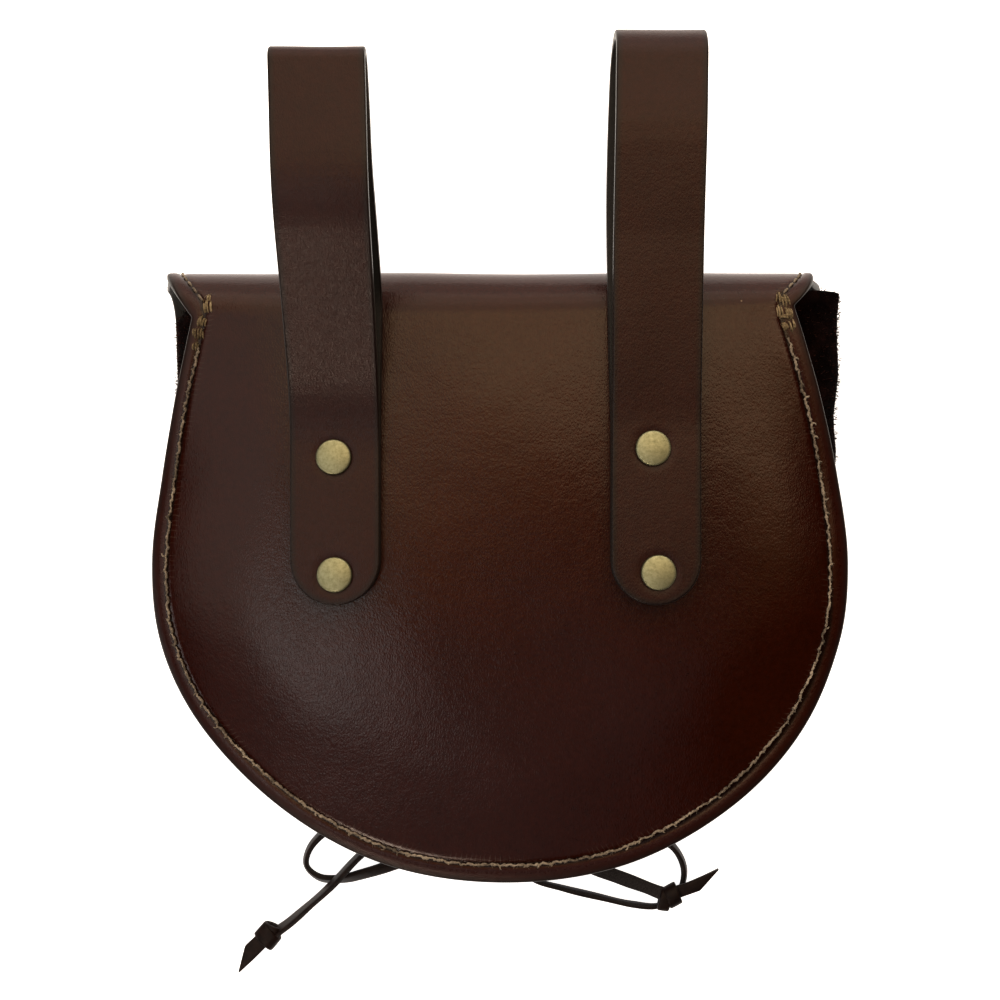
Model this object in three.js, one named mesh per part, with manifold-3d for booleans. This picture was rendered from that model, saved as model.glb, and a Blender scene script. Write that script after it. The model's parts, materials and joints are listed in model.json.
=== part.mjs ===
// Leather belt pouch lying on its flap, with the back and its two belt loops upwards.
// Millimetres, +Z up, +Y towards the belt loops. The flap's flat outer face lies on Z = 0.
import * as THREE from 'three';
import Module from 'manifold-3d';
import { mergeVertices } from 'three/addons/utils/BufferGeometryUtils.js';

// Thicknesses and clearances
const BACK_LEATHER = 2.8;
const FRONT_LEATHER = 2.4;
const SUEDE = 1.8;
const STRAP_LEATHER = 3;
const GAP = 0.3;
const SEAM_GAP = 0.45;
const FLAP_GAP = 0.5;

// Half of the D-shaped outline of back, gusset and front, from the mouth down to the middle of the bottom
const BAG_OUTLINE = [
  { half: 103.6, y: 65 },
  { half: 107.2, y: 54 },
  { half: 112.1, y: 33 },
  { half: 116.6, y: 8 },
  { half: 120.1, y: -21 },
  { half: 117.4, y: -48.3 },
  { half: 105.1, y: -75.9 },
  { half: 79.1, y: -103.6 },
  { half: 42.1, y: -124.3 },
];
const BAG_BOTTOM = -130.8;
const NOTCH_HALF = BAG_OUTLINE[0].half;
const NOTCH_Y = BAG_OUTLINE[0].y;
const OUTLINE_STEPS = 160;
const SHEET_SPANS = 6;

// The back: a flat middle whose sewn margin falls towards the edge
const BACK_OUTER_Z = 58;
const BACK_DROP = 7;
const BACK_MARGIN = 42;
const BOTTOM_CHORD = 6;
const BACK_ROWS = 22;

// The fold over the mouth: an upper bend, a standing face and a lower bend
const UPPER_BEND = { y: 63.6, radius: 14.6 };
const LOWER_BEND = { y: 61.6, radius: 16.6 };
const BEND_STEPS = 6;
const FLAP_CORNER_HALF = 113.6;
const FLAP_STANDING_HALF = 114.6;
const FLAP_SHOULDER_HALF = 117.6;
const FOLD_DROP_SHARE = 0.15;
const FOLD_SHIFT = -2.4;
const FOLD_SKEW = 2;
const SHIFT_RUN = 70;
const BOTTOM_SHIFT = 2;
const BOTTOM_SHIFT_FROM = -50;
const BOTTOM_SHIFT_TO = -104;

// The flap: flat where it rests, with raised side margins and a lower end raised over the lace bow
const FLAP_OUTLINE = [
  { half: 117.6, y: 61.6 },
  { half: 120, y: 33 },
  { half: 121.5, y: 0 },
  { half: 121.5, y: -24 },
  { half: 118, y: -50 },
  { half: 105.5, y: -76 },
  { half: 79, y: -102.5 },
  { half: 42, y: -122 },
];
const FLAP_BOTTOM = -128;
const FLAP_RISE = 5;
const FLAP_MARGIN = 38;
const END_LIFT = 14;
const END_LIFT_FROM = -60;
const FLAP_ROWS = 20;

// The front between gusset and flap
const FRONT_MOUTH_Y = 57;
const FRONT_RISE = 8;
const FRONT_MARGIN = 42;
const FRONT_ROWS = 18;
const FRONT_LAST_ROW = 3;

// The gusset strip: two seam flanges with folds, and a wall that bulges outwards, most at the mouth
const GUSSET_TOP = { half: 101.6, y: 74.2 };
const FLANGE = 7;
const FLANGE_RECESS = 0.4;
const FOLD_RADIUS = 1.6;
const FOLD_TURN = [100, 150, 200, 240];
const WALL_STEPS = 8;
const WALL_FULLNESS = 0.8;
const BULGE = 1;
const FLARE_LEFT = { reach: 10.8, power: 1.9 };
const FLARE_RIGHT = { reach: 20, power: 1.3 };
const END_DIP = 4;
const GUSSET_LEVEL_FROM = 20;
const GUSSET_STATIONS = 38;

// Belt loops: half width, half-round ends, and the corners of each strap's folded centre line
const STRAP_HALF = 15;
const STRAP_END_Y = -35.3;
const TIP_TURNS = [14, 28, 42, 56, 72, 90];
const FAR_STRAND_Z = BACK_OUTER_Z + GAP + STRAP_LEATHER / 2;
const NEAR_STRAND_Z = FAR_STRAND_Z + STRAP_LEATHER + GAP;
const LEFT_LOOP = {
  x: -55.3,
  sway: -1.6,
  corners: [
    { y: 30, z: NEAR_STRAND_Z, radius: 40 },
    { y: 68, z: 81, radius: 40 },
    { y: 92, z: 97.5, radius: 36 },
    { y: 139.2, z: 97.6, radius: 3.1 },
    { y: 139.2, z: 91.4, radius: 3.1 },
    { y: 106, z: 90, radius: 26 },
    { y: 68.5, z: FAR_STRAND_Z, radius: 14 },
  ],
};
const RIGHT_LOOP = {
  x: 52.4,
  sway: 1.1,
  corners: [
    { y: 26, z: NEAR_STRAND_Z, radius: 60 },
    { y: 62, z: 68.4, radius: 90 },
    { y: 96, z: 71.3, radius: 90 },
    { y: 155.6, z: 71.3, radius: 8.8 },
    { y: 155.6, z: 53.6, radius: 8.8 },
    { y: 100, z: 54, radius: 90 },
    { y: 70, z: FAR_STRAND_Z, radius: 60 },
  ],
};
const NEAR_SWAY_POWER = 2.4;
const FAR_SWAY_POWER = 3;
const ARC_STEP = 12;

// Rivets: domed outer cap, post, and flat inner cap
const RIVETS = [
  { name: 'rivet_left_upper', x: -55.6, y: 14.3 },
  { name: 'rivet_left_lower', x: -55.3, y: -25 },
  { name: 'rivet_right_upper', x: 51.2, y: 17.3 },
  { name: 'rivet_right_lower', x: 53, y: -24.3 },
];
const CAP_RADIUS = 6;
const CAP_RIM = 0.6;
const CAP_HEIGHT = 2;
const INNER_CAP_HEIGHT = 1.2;
const POST_RADIUS = 2.1;
const POST_HOLE_RADIUS = POST_RADIUS + GAP;
const RIVET_SIDES = 18;
const HOLE_SIDES = 12;
const HOLE_REACH = 9;
const CAP_DOME = [
  { radius: 4.8, height: 1.36 },
  { radius: 2.7, height: 1.84 },
];

// Lace: a flat strip, its bow under the flap's lower end, and the stretch that ties it to flap and front
const LACE_WIDTH = 5;
const LACE_THICK = 2;
const LACE_RIM = 0.7;
const LACE_STEP = 8;
const KNOT = { x: -9.6, y: -114, z: 4.3, width: 16, length: 12, height: 7.4 };
const KNOT_ROUNDNESS = 0.6;
const BRIDGE_RADIUS = 1.7;
const BRIDGE_HOLE_RADIUS = BRIDGE_RADIUS + 0.5;
const BRIDGE_SPREAD = 5;
const BRIDGE_TOP = 21;
const END_KNOT = { width: 9, length: 8, height: 6 };
const TIP_OUTLINE = [
  { along: 0, aside: -2.5 },
  { along: 10.6, aside: -3 },
  { along: 17.6, aside: 0.5 },
  { along: 0, aside: 2.5 },
];

// Lace routes from the bow knot outwards, seen from above. The strip's middle is at height z, or as low as
// the ground lets it lie, and the strip is turned from lying flat (0) towards standing on its edge (90).
const LACE_ROUTES = {
  lace_loop_left: [
    { x: -18.2, y: -112, z: 6.2, turn: 0 },
    { x: -28, y: -113, z: 4.4, turn: 0 },
    { x: -41, y: -115.5, z: 2, turn: 10 },
    { x: -54, y: -119.5, z: 0, turn: 45 },
    { x: -66, y: -126.2, z: 0, turn: 75 },
    { x: -73, y: -133.6, z: 0, turn: 75 },
    { x: -74.2, y: -140, z: 0, turn: 70 },
    { x: -69.2, y: -144.6, z: 0, turn: 60 },
    { x: -60.5, y: -145.2, z: 0, turn: 50 },
    { x: -52.4, y: -143.4, z: 0, turn: 40 },
    { x: -43, y: -140.6, z: 0, turn: 30 },
    { x: -34, y: -137, z: 0, turn: 15 },
    { x: -25.6, y: -129.6, z: 0, turn: 0 },
    { x: -20, y: -122, z: 0, turn: 0 },
    { x: -15.5, y: -120.6, z: 1.9, turn: 0 },
  ],
  lace_loop_right: [
    { x: -5, y: -120.6, z: 1.9, turn: 0 },
    { x: -1, y: -127, z: 0, turn: 0 },
    { x: 4.5, y: -138, z: 0, turn: 40 },
    { x: 12.5, y: -145.2, z: 0, turn: 75 },
    { x: 24, y: -148.8, z: 0, turn: 85 },
    { x: 38.3, y: -152.2, z: 0, turn: 85 },
    { x: 51, y: -155, z: 0, turn: 85 },
    { x: 61, y: -155.4, z: 0, turn: 75 },
    { x: 68.4, y: -150.4, z: 0, turn: 70 },
    { x: 70.6, y: -142, z: 0, turn: 75 },
    { x: 67, y: -133.6, z: 0, turn: 75 },
    { x: 56, y: -126, z: 0, turn: 45 },
    { x: 40, y: -119.4, z: 0, turn: 10 },
    { x: 22, y: -115.6, z: 2.4, turn: 0 },
    { x: 8, y: -113, z: 5, turn: 0 },
    { x: -1, y: -112, z: 6.2, turn: 0 },
  ],
  lace_end_left: [
    { x: -18.5, y: -115, z: 2.4, turn: 0 },
    { x: -26.6, y: -118.6, z: 4, turn: 15 },
    { x: -39, y: -124.8, z: 6.2, turn: 55 },
    { x: -52.9, y: -134.6, z: 8.2, turn: 75 },
    { x: -63.2, y: -145.4, z: 8.6, turn: 75 },
    { x: -73.4, y: -155, z: 6.6, turn: 72 },
    { x: -80.4, y: -161.3, z: 5, turn: 60 },
    { x: -84.8, y: -164.7, z: 4, turn: 45 },
  ],
  lace_end_right: [
    { x: -1, y: -116.5, z: 2.4, turn: 0 },
    { x: 7, y: -122.5, z: 2.2, turn: 0 },
    { x: 18, y: -131.6, z: 1.8, turn: 0 },
    { x: 34.5, y: -140.2, z: 3.2, turn: 0 },
    { x: 46, y: -144, z: 5.6, turn: 0 },
    { x: 55, y: -146.8, z: 7.6, turn: 0 },
    { x: 60.6, y: -148.8, z: 8.4, turn: 0 },
  ],
};
const END_KNOTS = [
  { name: 'end_knot_left', x: -88.6, y: -166.8, z: 3.6, towards: 229 },
  { name: 'end_knot_right', x: 65.4, y: -150, z: 8.6, towards: 31 },
];

// Colours
const BROWN_LEATHER = new THREE.MeshStandardMaterial({ color: 0x3a261e, roughness: 0.45, metalness: 0 });
const FRONT_BROWN = new THREE.MeshStandardMaterial({ color: 0x36231b, roughness: 0.5, metalness: 0 });
const STRAP_BROWN = new THREE.MeshStandardMaterial({ color: 0x37261f, roughness: 0.45, metalness: 0 });
const BROWN_SUEDE = new THREE.MeshStandardMaterial({ color: 0x2c1711, roughness: 0.95, metalness: 0 });
const BRASS = new THREE.MeshStandardMaterial({ color: 0x9b8958, roughness: 0.35, metalness: 1 });
const LACE_BROWN = new THREE.MeshStandardMaterial({ color: 0x2b2422, roughness: 0.6, metalness: 0 });

const wasm = await Module();
wasm.setup();

const radians = THREE.MathUtils.degToRad;
const mix = THREE.MathUtils.lerp;
const clamp01 = (value) => THREE.MathUtils.clamp(value, 0, 1);

// Whole outline as a smooth curve from the left end of a half table, round the bottom, to the right end
function outlineCurve(halfTable, bottom) {
  const left = halfTable.map(({ half, y }) => new THREE.Vector3(-half, y, 0));
  const right = halfTable.map(({ half, y }) => new THREE.Vector3(half, y, 0)).reverse();
  return new THREE.CatmullRomCurve3([...left, new THREE.Vector3(0, bottom, 0), ...right]);
}

// Rows from the outline's bottom to its top, as half widths and heights
function outlineRows(curve, count) {
  const rows = [];
  for (let i = 0; i <= count; i += 1) {
    const point = curve.getPointAt(mix(0.5, 1, i / count));
    rows.push({ half: Math.max(point.x, BOTTOM_CHORD), y: point.y });
  }
  return rows;
}

// Distance from a place to the nearest stretch of an outline
function edgeDistance(outline, x, y) {
  const place = new THREE.Vector3(x, y, 0);
  const nearest = new THREE.Vector3();
  let best = Infinity;
  for (let i = 1; i < outline.length; i += 1) {
    new THREE.Line3(outline[i - 1], outline[i]).closestPointToPoint(place, true, nearest);
    best = Math.min(best, nearest.distanceTo(place));
  }
  return best;
}

// Share of a margin's full drop at a distance from the edge: 1 at the edge, 0 on the flat middle
const marginShare = (distance, margin) => (1 - clamp01(distance / margin)) ** 2;

// Places across a sheet from -1 to 1, closer together towards its edges
function across() {
  const places = [];
  for (let i = -SHEET_SPANS; i <= SHEET_SPANS; i += 1) {
    places.push(Math.sin((Math.PI / 2) * (i / SHEET_SPANS)));
  }
  return places;
}

// Directions of a line at one of its points: of the stretch on one side of it, and the mean of both
function directionsAt(before, point, after) {
  const into = point.clone().sub(before ?? point).normalize();
  const onward = (after ?? point).clone().sub(point).normalize();
  return { stretch: before ? into : onward, mean: into.clone().add(onward).normalize() };
}

const normalOf = (along, over) => along.clone().cross(over).normalize();

// Closed solid of even thickness around a grid of points on the sheet's middle surface
function sheetSolid(rows, thickness) {
  const lastRow = rows.length - 1;
  const lastColumn = rows[0].length - 1;
  const sides = [[], []];
  rows.forEach((row, r) => row.forEach((point, c) => {
    const along = directionsAt(rows[r - 1]?.[c], point, rows[r + 1]?.[c]);
    const over = directionsAt(row[c - 1], point, row[c + 1]);
    const offset = normalOf(along.mean, over.mean);
    const rowMitre = offset.dot(normalOf(along.stretch, over.mean));
    const columnMitre = offset.dot(normalOf(along.mean, over.stretch));
    offset.setLength(thickness / 2 / (rowMitre * columnMitre));
    sides[0].push(point.clone().add(offset));
    sides[1].push(point.clone().sub(offset));
  }));
  const columns = lastColumn + 1;
  const upper = (r, c) => r * columns + c;
  const lower = (r, c) => rows.length * columns + upper(r, c);
  const index = [];
  const quad = (a, b, c, d) => index.push(a, b, c, a, c, d);
  for (let r = 0; r < lastRow; r += 1) {
    for (let c = 0; c < lastColumn; c += 1) {
      quad(upper(r, c), upper(r + 1, c), upper(r + 1, c + 1), upper(r, c + 1));
      quad(lower(r, c), lower(r, c + 1), lower(r + 1, c + 1), lower(r + 1, c));
    }
    quad(upper(r + 1, 0), upper(r, 0), lower(r, 0), lower(r + 1, 0));
    quad(upper(r, lastColumn), upper(r + 1, lastColumn), lower(r + 1, lastColumn), lower(r, lastColumn));
  }
  for (let c = 0; c < lastColumn; c += 1) {
    quad(upper(0, c), upper(0, c + 1), lower(0, c + 1), lower(0, c));
    quad(upper(lastRow, c + 1), upper(lastRow, c), lower(lastRow, c), lower(lastRow, c + 1));
  }
  const geometry = new THREE.BufferGeometry().setFromPoints([...sides[0], ...sides[1]]);
  geometry.setIndex(index);
  return geometry;
}

// A geometry as a solid that can be joined and cut
function toSolid(geometry) {
  const bare = geometry.clone();
  bare.deleteAttribute('normal');
  bare.deleteAttribute('uv');
  const merged = mergeVertices(bare, 1e-4);
  return new wasm.Manifold(new wasm.Mesh({
    numProp: 3,
    vertProperties: new Float32Array(merged.attributes.position.array),
    triVerts: new Uint32Array(merged.index.array),
  }));
}

// A joined or cut solid as a geometry
function toGeometry(solid) {
  const mesh = solid.getMesh();
  const geometry = new THREE.BufferGeometry();
  geometry.setAttribute('position', new THREE.BufferAttribute(mesh.vertProperties, 3));
  geometry.setIndex(new THREE.BufferAttribute(mesh.triVerts, 1));
  return geometry;
}

// Upright round bar at a place, also used as a cutter
function upright(radius, x, y, fromZ, toZ) {
  const cylinder = new THREE.CylinderGeometry(radius, radius, toZ - fromZ, HOLE_SIDES);
  cylinder.rotateX(Math.PI / 2);
  return toSolid(cylinder.translate(x, y, (fromZ + toZ) / 2));
}

// A sheet with round holes cut upright through it
function withHoles(geometry, holes) {
  let solid = toSolid(geometry);
  for (const { radius, x, y, fromZ, toZ } of holes) {
    solid = solid.subtract(upright(radius, x, y, fromZ, toZ));
  }
  return toGeometry(solid);
}

const bagCurve = outlineCurve(BAG_OUTLINE, BAG_BOTTOM);
const bagEdge = bagCurve.getSpacedPoints(OUTLINE_STEPS);
const flapCurve = outlineCurve(FLAP_OUTLINE, FLAP_BOTTOM);
const flapEdge = flapCurve.getSpacedPoints(OUTLINE_STEPS);
const BACK_MID_Z = BACK_OUTER_Z - BACK_LEATHER / 2;
const FLAP_MID_Z = BACK_LEATHER / 2;
const FRONT_MID_Z = BACK_LEATHER + FLAP_GAP + FRONT_LEATHER / 2;
const UPPER_BEND_Z = BACK_MID_Z - UPPER_BEND.radius;
const LOWER_BEND_Z = FLAP_MID_Z + LOWER_BEND.radius;

// How far the lower end of flap and front is raised over the bow
function endLift(y) {
  const run = Math.max(0, END_LIFT_FROM - y) / (END_LIFT_FROM - FLAP_BOTTOM);
  return END_LIFT * run ** 2;
}

// Middle surface of the back below its upper bend
function backZ(x, y) {
  return BACK_MID_Z - BACK_DROP * marginShare(edgeDistance(bagEdge, x, y), BACK_MARGIN);
}

// Middle surface of the front
function frontZ(x, y) {
  const rise = FRONT_RISE * marginShare(edgeDistance(bagEdge, x, y), FRONT_MARGIN);
  return FRONT_MID_Z + rise + endLift(y);
}

// Middle surface of the flap below its lower bend
function flapZ(x, y) {
  const rise = FLAP_RISE * marginShare(edgeDistance(flapEdge, x, y), FLAP_MARGIN);
  return FLAP_MID_Z + rise + endLift(y);
}

// The cut isn't quite even: the mouth lies a little to the left, with a tilt at its notches, and the bottom
// a little to the right
function leaned(point) {
  const lean = clamp01(1 - (NOTCH_Y - point.y) / SHIFT_RUN) ** 2;
  const straightened = clamp01((point.y - NOTCH_Y) / (UPPER_BEND.y + UPPER_BEND.radius - NOTCH_Y));
  const tilt = FOLD_SKEW * (1 - straightened) * THREE.MathUtils.clamp(point.x / NOTCH_HALF, -1, 1);
  const low = THREE.MathUtils.smoothstep(-point.y, -BOTTOM_SHIFT_FROM, -BOTTOM_SHIFT_TO);
  const aside = lean * FOLD_SHIFT + low * BOTTOM_SHIFT;
  return new THREE.Vector3(point.x + aside, point.y + lean * tilt, point.z);
}

function backRow({ half, y }) {
  const bend = Math.max(0, y - UPPER_BEND.y);
  const bendDrop = UPPER_BEND.radius - Math.sqrt(UPPER_BEND.radius ** 2 - bend ** 2);
  return across().map((u) => leaned(new THREE.Vector3(u * half, y, backZ(u * half, y) - bendDrop)));
}

// A row of the fold: a place on the profile, the direction that faces out, and how much margin drop is left
function foldRow({ y, z, turn, half, share }) {
  const out = new THREE.Vector3(0, Math.cos(turn), Math.sin(turn));
  return across().map((u) => {
    const drop = BACK_DROP * share * marginShare(half * (1 - Math.abs(u)), BACK_MARGIN);
    return leaned(new THREE.Vector3(u * half, y, z)).addScaledVector(out, -drop);
  });
}

// Rows over the mouth from the notch to the start of the flap
function foldRows() {
  const rows = [];
  const start = Math.acos((NOTCH_Y - UPPER_BEND.y) / UPPER_BEND.radius);
  for (let i = 1; i <= BEND_STEPS; i += 1) {
    const turn = mix(start, 0, i / BEND_STEPS);
    const y = UPPER_BEND.y + UPPER_BEND.radius * Math.cos(turn);
    const z = UPPER_BEND_Z + UPPER_BEND.radius * Math.sin(turn);
    const flare = (y - NOTCH_Y) / (UPPER_BEND.y + UPPER_BEND.radius - NOTCH_Y);
    const half = mix(NOTCH_HALF, FLAP_CORNER_HALF, flare);
    rows.push(foldRow({ y, z, turn, half, share: mix(1, FOLD_DROP_SHARE, flare) }));
  }
  for (let i = 0; i < BEND_STEPS; i += 1) {
    const turn = mix(0, -Math.PI / 2, i / BEND_STEPS);
    const y = LOWER_BEND.y + LOWER_BEND.radius * Math.cos(turn);
    const z = LOWER_BEND_Z + LOWER_BEND.radius * Math.sin(turn);
    const half = mix(FLAP_STANDING_HALF, FLAP_SHOULDER_HALF, i / BEND_STEPS);
    const share = mix(FOLD_DROP_SHARE, FLAP_RISE / BACK_DROP, i / BEND_STEPS);
    rows.push(foldRow({ y, z, turn, half, share }));
  }
  return rows;
}

function flapRow({ half, y }) {
  return across().map((u) => leaned(new THREE.Vector3(u * half, y, flapZ(u * half, y))));
}

// Holes for the rivets' posts
const rivetHoles = RIVETS.map(({ x, y }) => ({
  radius: POST_HOLE_RADIUS, x, y, fromZ: BACK_OUTER_Z - HOLE_REACH, toZ: BACK_OUTER_Z + HOLE_REACH,
}));

// Holes for the lace bridge's two legs
const laceHoles = [-BRIDGE_SPREAD, BRIDGE_SPREAD].map((side) => ({
  radius: BRIDGE_HOLE_RADIUS, x: KNOT.x + side, y: KNOT.y, fromZ: -HOLE_REACH, toZ: BRIDGE_TOP + HOLE_REACH,
}));

function backAndFlap() {
  const back = outlineRows(bagCurve, BACK_ROWS).map(backRow);
  const flap = outlineRows(flapCurve, FLAP_ROWS).map(flapRow).reverse();
  const sheet = sheetSolid([...back, ...foldRows(), ...flap], BACK_LEATHER);
  return withHoles(sheet, [...rivetHoles, ...laceHoles]);
}

function frontPanel() {
  const rows = outlineRows(bagCurve, FRONT_ROWS).filter(({ y }) => y < FRONT_MOUTH_Y - FRONT_LAST_ROW);
  const mouthShare = (FRONT_MOUTH_Y - BAG_OUTLINE[1].y) / (NOTCH_Y - BAG_OUTLINE[1].y);
  rows.push({ half: mix(BAG_OUTLINE[1].half, NOTCH_HALF, mouthShare), y: FRONT_MOUTH_Y });
  const grid = rows.map(({ half, y }) => across().map((u) => (
    leaned(new THREE.Vector3(u * half, y, frontZ(u * half, y)))
  )));
  return withHoles(sheetSolid(grid, FRONT_LEATHER), laceHoles);
}

// One seam flange of the gusset as its inner and outer heights, against a panel's middle surface
function flangeHeights(panelZ, place, out, panelLeather, side) {
  const inner = place.clone().addScaledVector(out, -FLANGE);
  const outer = place.clone().addScaledVector(out, -FLANGE_RECESS);
  const innerZ = panelZ(inner.x, Math.min(inner.y, UPPER_BEND.y));
  const outerZ = panelZ(outer.x, Math.min(outer.y, UPPER_BEND.y));
  const steep = Math.hypot(1, (innerZ - outerZ) / (FLANGE - FLANGE_RECESS));
  const away = side * ((panelLeather + SUEDE) / 2 + SEAM_GAP) * steep;
  return { inner: innerZ + away, outer: outerZ + away };
}

// Cross-section of the gusset at a place on its path, as outward distances and heights
function gussetSection(place, out) {
  const back = flangeHeights(backZ, place, out, BACK_LEATHER, -1);
  const front = flangeHeights(frontZ, place, out, FRONT_LEATHER, 1);
  const dip = END_DIP * clamp01((place.y - UPPER_BEND.y) / (GUSSET_TOP.y - UPPER_BEND.y)) ** 2;
  const flare = place.x < 0 ? FLARE_LEFT : FLARE_RIGHT;
  const bulge = BULGE + flare.reach * clamp01(place.y / GUSSET_TOP.y) ** flare.power;
  const section = [{ u: -FLANGE_RECESS, z: back.outer - dip }];
  const foldPoint = (centreZ, turn, side) => ({
    u: -FLANGE + FOLD_RADIUS * Math.cos(radians(turn)),
    z: centreZ + side * FOLD_RADIUS * Math.sin(radians(turn)),
  });
  const backFold = FOLD_TURN.map((turn) => foldPoint(back.inner - dip - FOLD_RADIUS, turn, 1));
  const frontFold = FOLD_TURN.map((turn) => foldPoint(front.inner + dip + FOLD_RADIUS, turn, -1)).reverse();
  const from = backFold.at(-1);
  const to = frontFold[0];
  section.push(...backFold);
  for (let i = 1; i < WALL_STEPS; i += 1) {
    const share = i / WALL_STEPS;
    const full = Math.sin(Math.PI * share) ** WALL_FULLNESS;
    section.push({ u: mix(from.u, bulge, full), z: mix(from.z, to.z, share) });
  }
  section.push(...frontFold, { u: -FLANGE_RECESS, z: front.outer + dip });
  return section;
}

function gusset() {
  const curve = outlineCurve([GUSSET_TOP, ...BAG_OUTLINE], BAG_BOTTOM);
  const rows = [];
  for (let i = 0; i <= GUSSET_STATIONS; i += 1) {
    const place = curve.getPointAt(i / GUSSET_STATIONS);
    const along = curve.getTangentAt(i / GUSSET_STATIONS);
    const level = clamp01((place.y - GUSSET_LEVEL_FROM) / (NOTCH_Y - GUSSET_LEVEL_FROM));
    const out = new THREE.Vector3(-along.y, along.x * (1 - level), 0).normalize().negate();
    rows.push(gussetSection(place, out).map(({ u, z }) => (
      leaned(new THREE.Vector3(place.x + out.x * u, place.y + out.y * u, z))
    )));
  }
  return sheetSolid(rows, SUEDE);
}

// Straight runs joined by arcs, as points in the upright plane of a strap
function filletedLine(start, corners, end) {
  const knots = [start, ...corners, end].map(({ y, z }) => new THREE.Vector2(y, z));
  const points = [knots[0]];
  corners.forEach(({ radius }, i) => {
    const before = knots[i].clone().sub(knots[i + 1]).normalize();
    const after = knots[i + 2].clone().sub(knots[i + 1]).normalize();
    const bend = Math.PI - before.angleTo(after);
    const trim = radius * Math.tan(bend / 2);
    const middle = before.clone().add(after).normalize();
    const centre = knots[i + 1].clone().addScaledVector(middle, radius / Math.cos(bend / 2));
    const first = knots[i + 1].clone().addScaledVector(before, trim).sub(centre);
    const sense = Math.sign(before.cross(after)) * -1;
    const steps = Math.max(1, Math.ceil(THREE.MathUtils.radToDeg(bend) / ARC_STEP));
    for (let k = 0; k <= steps; k += 1) {
      const turned = first.clone().rotateAround(new THREE.Vector2(), sense * bend * (k / steps));
      points.push(turned.add(centre));
    }
  });
  points.push(knots.at(-1));
  return points;
}

// Sideways sway of a strap, from none at the rivets to all of it at the top fold
function swayAt(y, corners, power) {
  const top = Math.max(...corners.map((corner) => corner.y));
  return clamp01((y - corners[0].y) / (top - corners[0].y)) ** power;
}

function beltLoop({ x, sway, corners }) {
  const start = { y: STRAP_END_Y + STRAP_HALF, z: corners[0].z };
  const end = { y: STRAP_END_Y + STRAP_HALF, z: corners.at(-1).z };
  const line = filletedLine(start, corners, end);
  const tip = (z) => TIP_TURNS.map(radians).map((turn) => ({
    middle: x, y: STRAP_END_Y + STRAP_HALF * (1 - Math.cos(turn)), z, half: STRAP_HALF * Math.sin(turn),
  }));
  const fold = line.findIndex((point, i) => i > 0 && point.x < line[i - 1].x);
  const body = line.slice(1, -1).map((point, i) => ({
    middle: x + sway * swayAt(point.x, corners, i + 1 < fold ? NEAR_SWAY_POWER : FAR_SWAY_POWER),
    y: point.x,
    z: point.y,
    half: STRAP_HALF,
  }));
  const rows = [...tip(start.z), ...body, ...tip(end.z).reverse()];
  const grid = rows.map(({ middle, y, z, half }) => [
    new THREE.Vector3(middle - half, y, z),
    new THREE.Vector3(middle + half, y, z),
  ]);
  return withHoles(sheetSolid(grid, STRAP_LEATHER), rivetHoles);
}

function rivet() {
  const capBase = NEAR_STRAND_Z + STRAP_LEATHER / 2 + GAP;
  const innerTop = BACK_OUTER_Z - BACK_LEATHER - GAP;
  const innerBase = innerTop - INNER_CAP_HEIGHT;
  const profile = [
    new THREE.Vector2(0, innerBase),
    new THREE.Vector2(CAP_RADIUS - CAP_RIM, innerBase),
    new THREE.Vector2(CAP_RADIUS, innerBase + CAP_RIM),
    new THREE.Vector2(CAP_RADIUS, innerTop),
    new THREE.Vector2(POST_RADIUS, innerTop),
    new THREE.Vector2(POST_RADIUS, capBase),
    new THREE.Vector2(CAP_RADIUS, capBase),
    new THREE.Vector2(CAP_RADIUS, capBase + CAP_RIM),
    ...CAP_DOME.map(({ radius, height }) => new THREE.Vector2(radius, capBase + height)),
    new THREE.Vector2(0, capBase + CAP_HEIGHT),
  ];
  return new THREE.LatheGeometry(profile, RIVET_SIDES).rotateX(Math.PI / 2);
}

// Flat strip with rounded edges, swept along a route
function laceStrip(route) {
  const wide = LACE_WIDTH / 2;
  const high = LACE_THICK / 2;
  const points = route.map(({ x, y, z, turn }) => {
    const reach = wide * Math.sin(radians(turn)) + high * Math.cos(radians(turn));
    return new THREE.Vector3(x, y, Math.max(z, reach + GAP));
  });
  const curve = new THREE.CatmullRomCurve3(points);
  const steps = Math.round(curve.getLength() / LACE_STEP);
  const section = [
    [wide, LACE_RIM - high], [wide, high - LACE_RIM], [wide - LACE_RIM, high], [LACE_RIM - wide, high],
    [-wide, high - LACE_RIM], [-wide, LACE_RIM - high], [LACE_RIM - wide, -high], [wide - LACE_RIM, -high],
  ];
  const positions = [];
  for (let i = 0; i <= steps; i += 1) {
    const place = curve.getPointAt(i / steps);
    const along = curve.getTangentAt(i / steps);
    const stretch = curve.getUtoTmapping(i / steps) * (route.length - 1);
    const from = Math.min(Math.floor(stretch), route.length - 2);
    const turn = radians(mix(route[from].turn, route[from + 1].turn, stretch - from));
    const side = new THREE.Vector3(along.y, -along.x, 0).normalize().applyAxisAngle(along, turn);
    const over = side.clone().cross(along);
    for (const [aside, above] of section) {
      positions.push(place.clone().addScaledVector(side, aside).addScaledVector(over, above));
    }
  }
  return closedTube(positions, section.length);
}

// Closed tube through rings of points that all have the same number of sides
function closedTube(positions, sides) {
  const rings = positions.length / sides;
  const index = [];
  for (let ring = 0; ring < rings - 1; ring += 1) {
    for (let k = 0; k < sides; k += 1) {
      const a = ring * sides + k;
      const b = ring * sides + ((k + 1) % sides);
      index.push(a, a + sides, b, b, a + sides, b + sides);
    }
  }
  const last = (rings - 1) * sides;
  for (let k = 1; k < sides - 1; k += 1) {
    index.push(0, k, k + 1, last, last + k + 1, last + k);
  }
  const geometry = new THREE.BufferGeometry().setFromPoints(positions);
  geometry.setIndex(index);
  return geometry;
}

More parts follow.
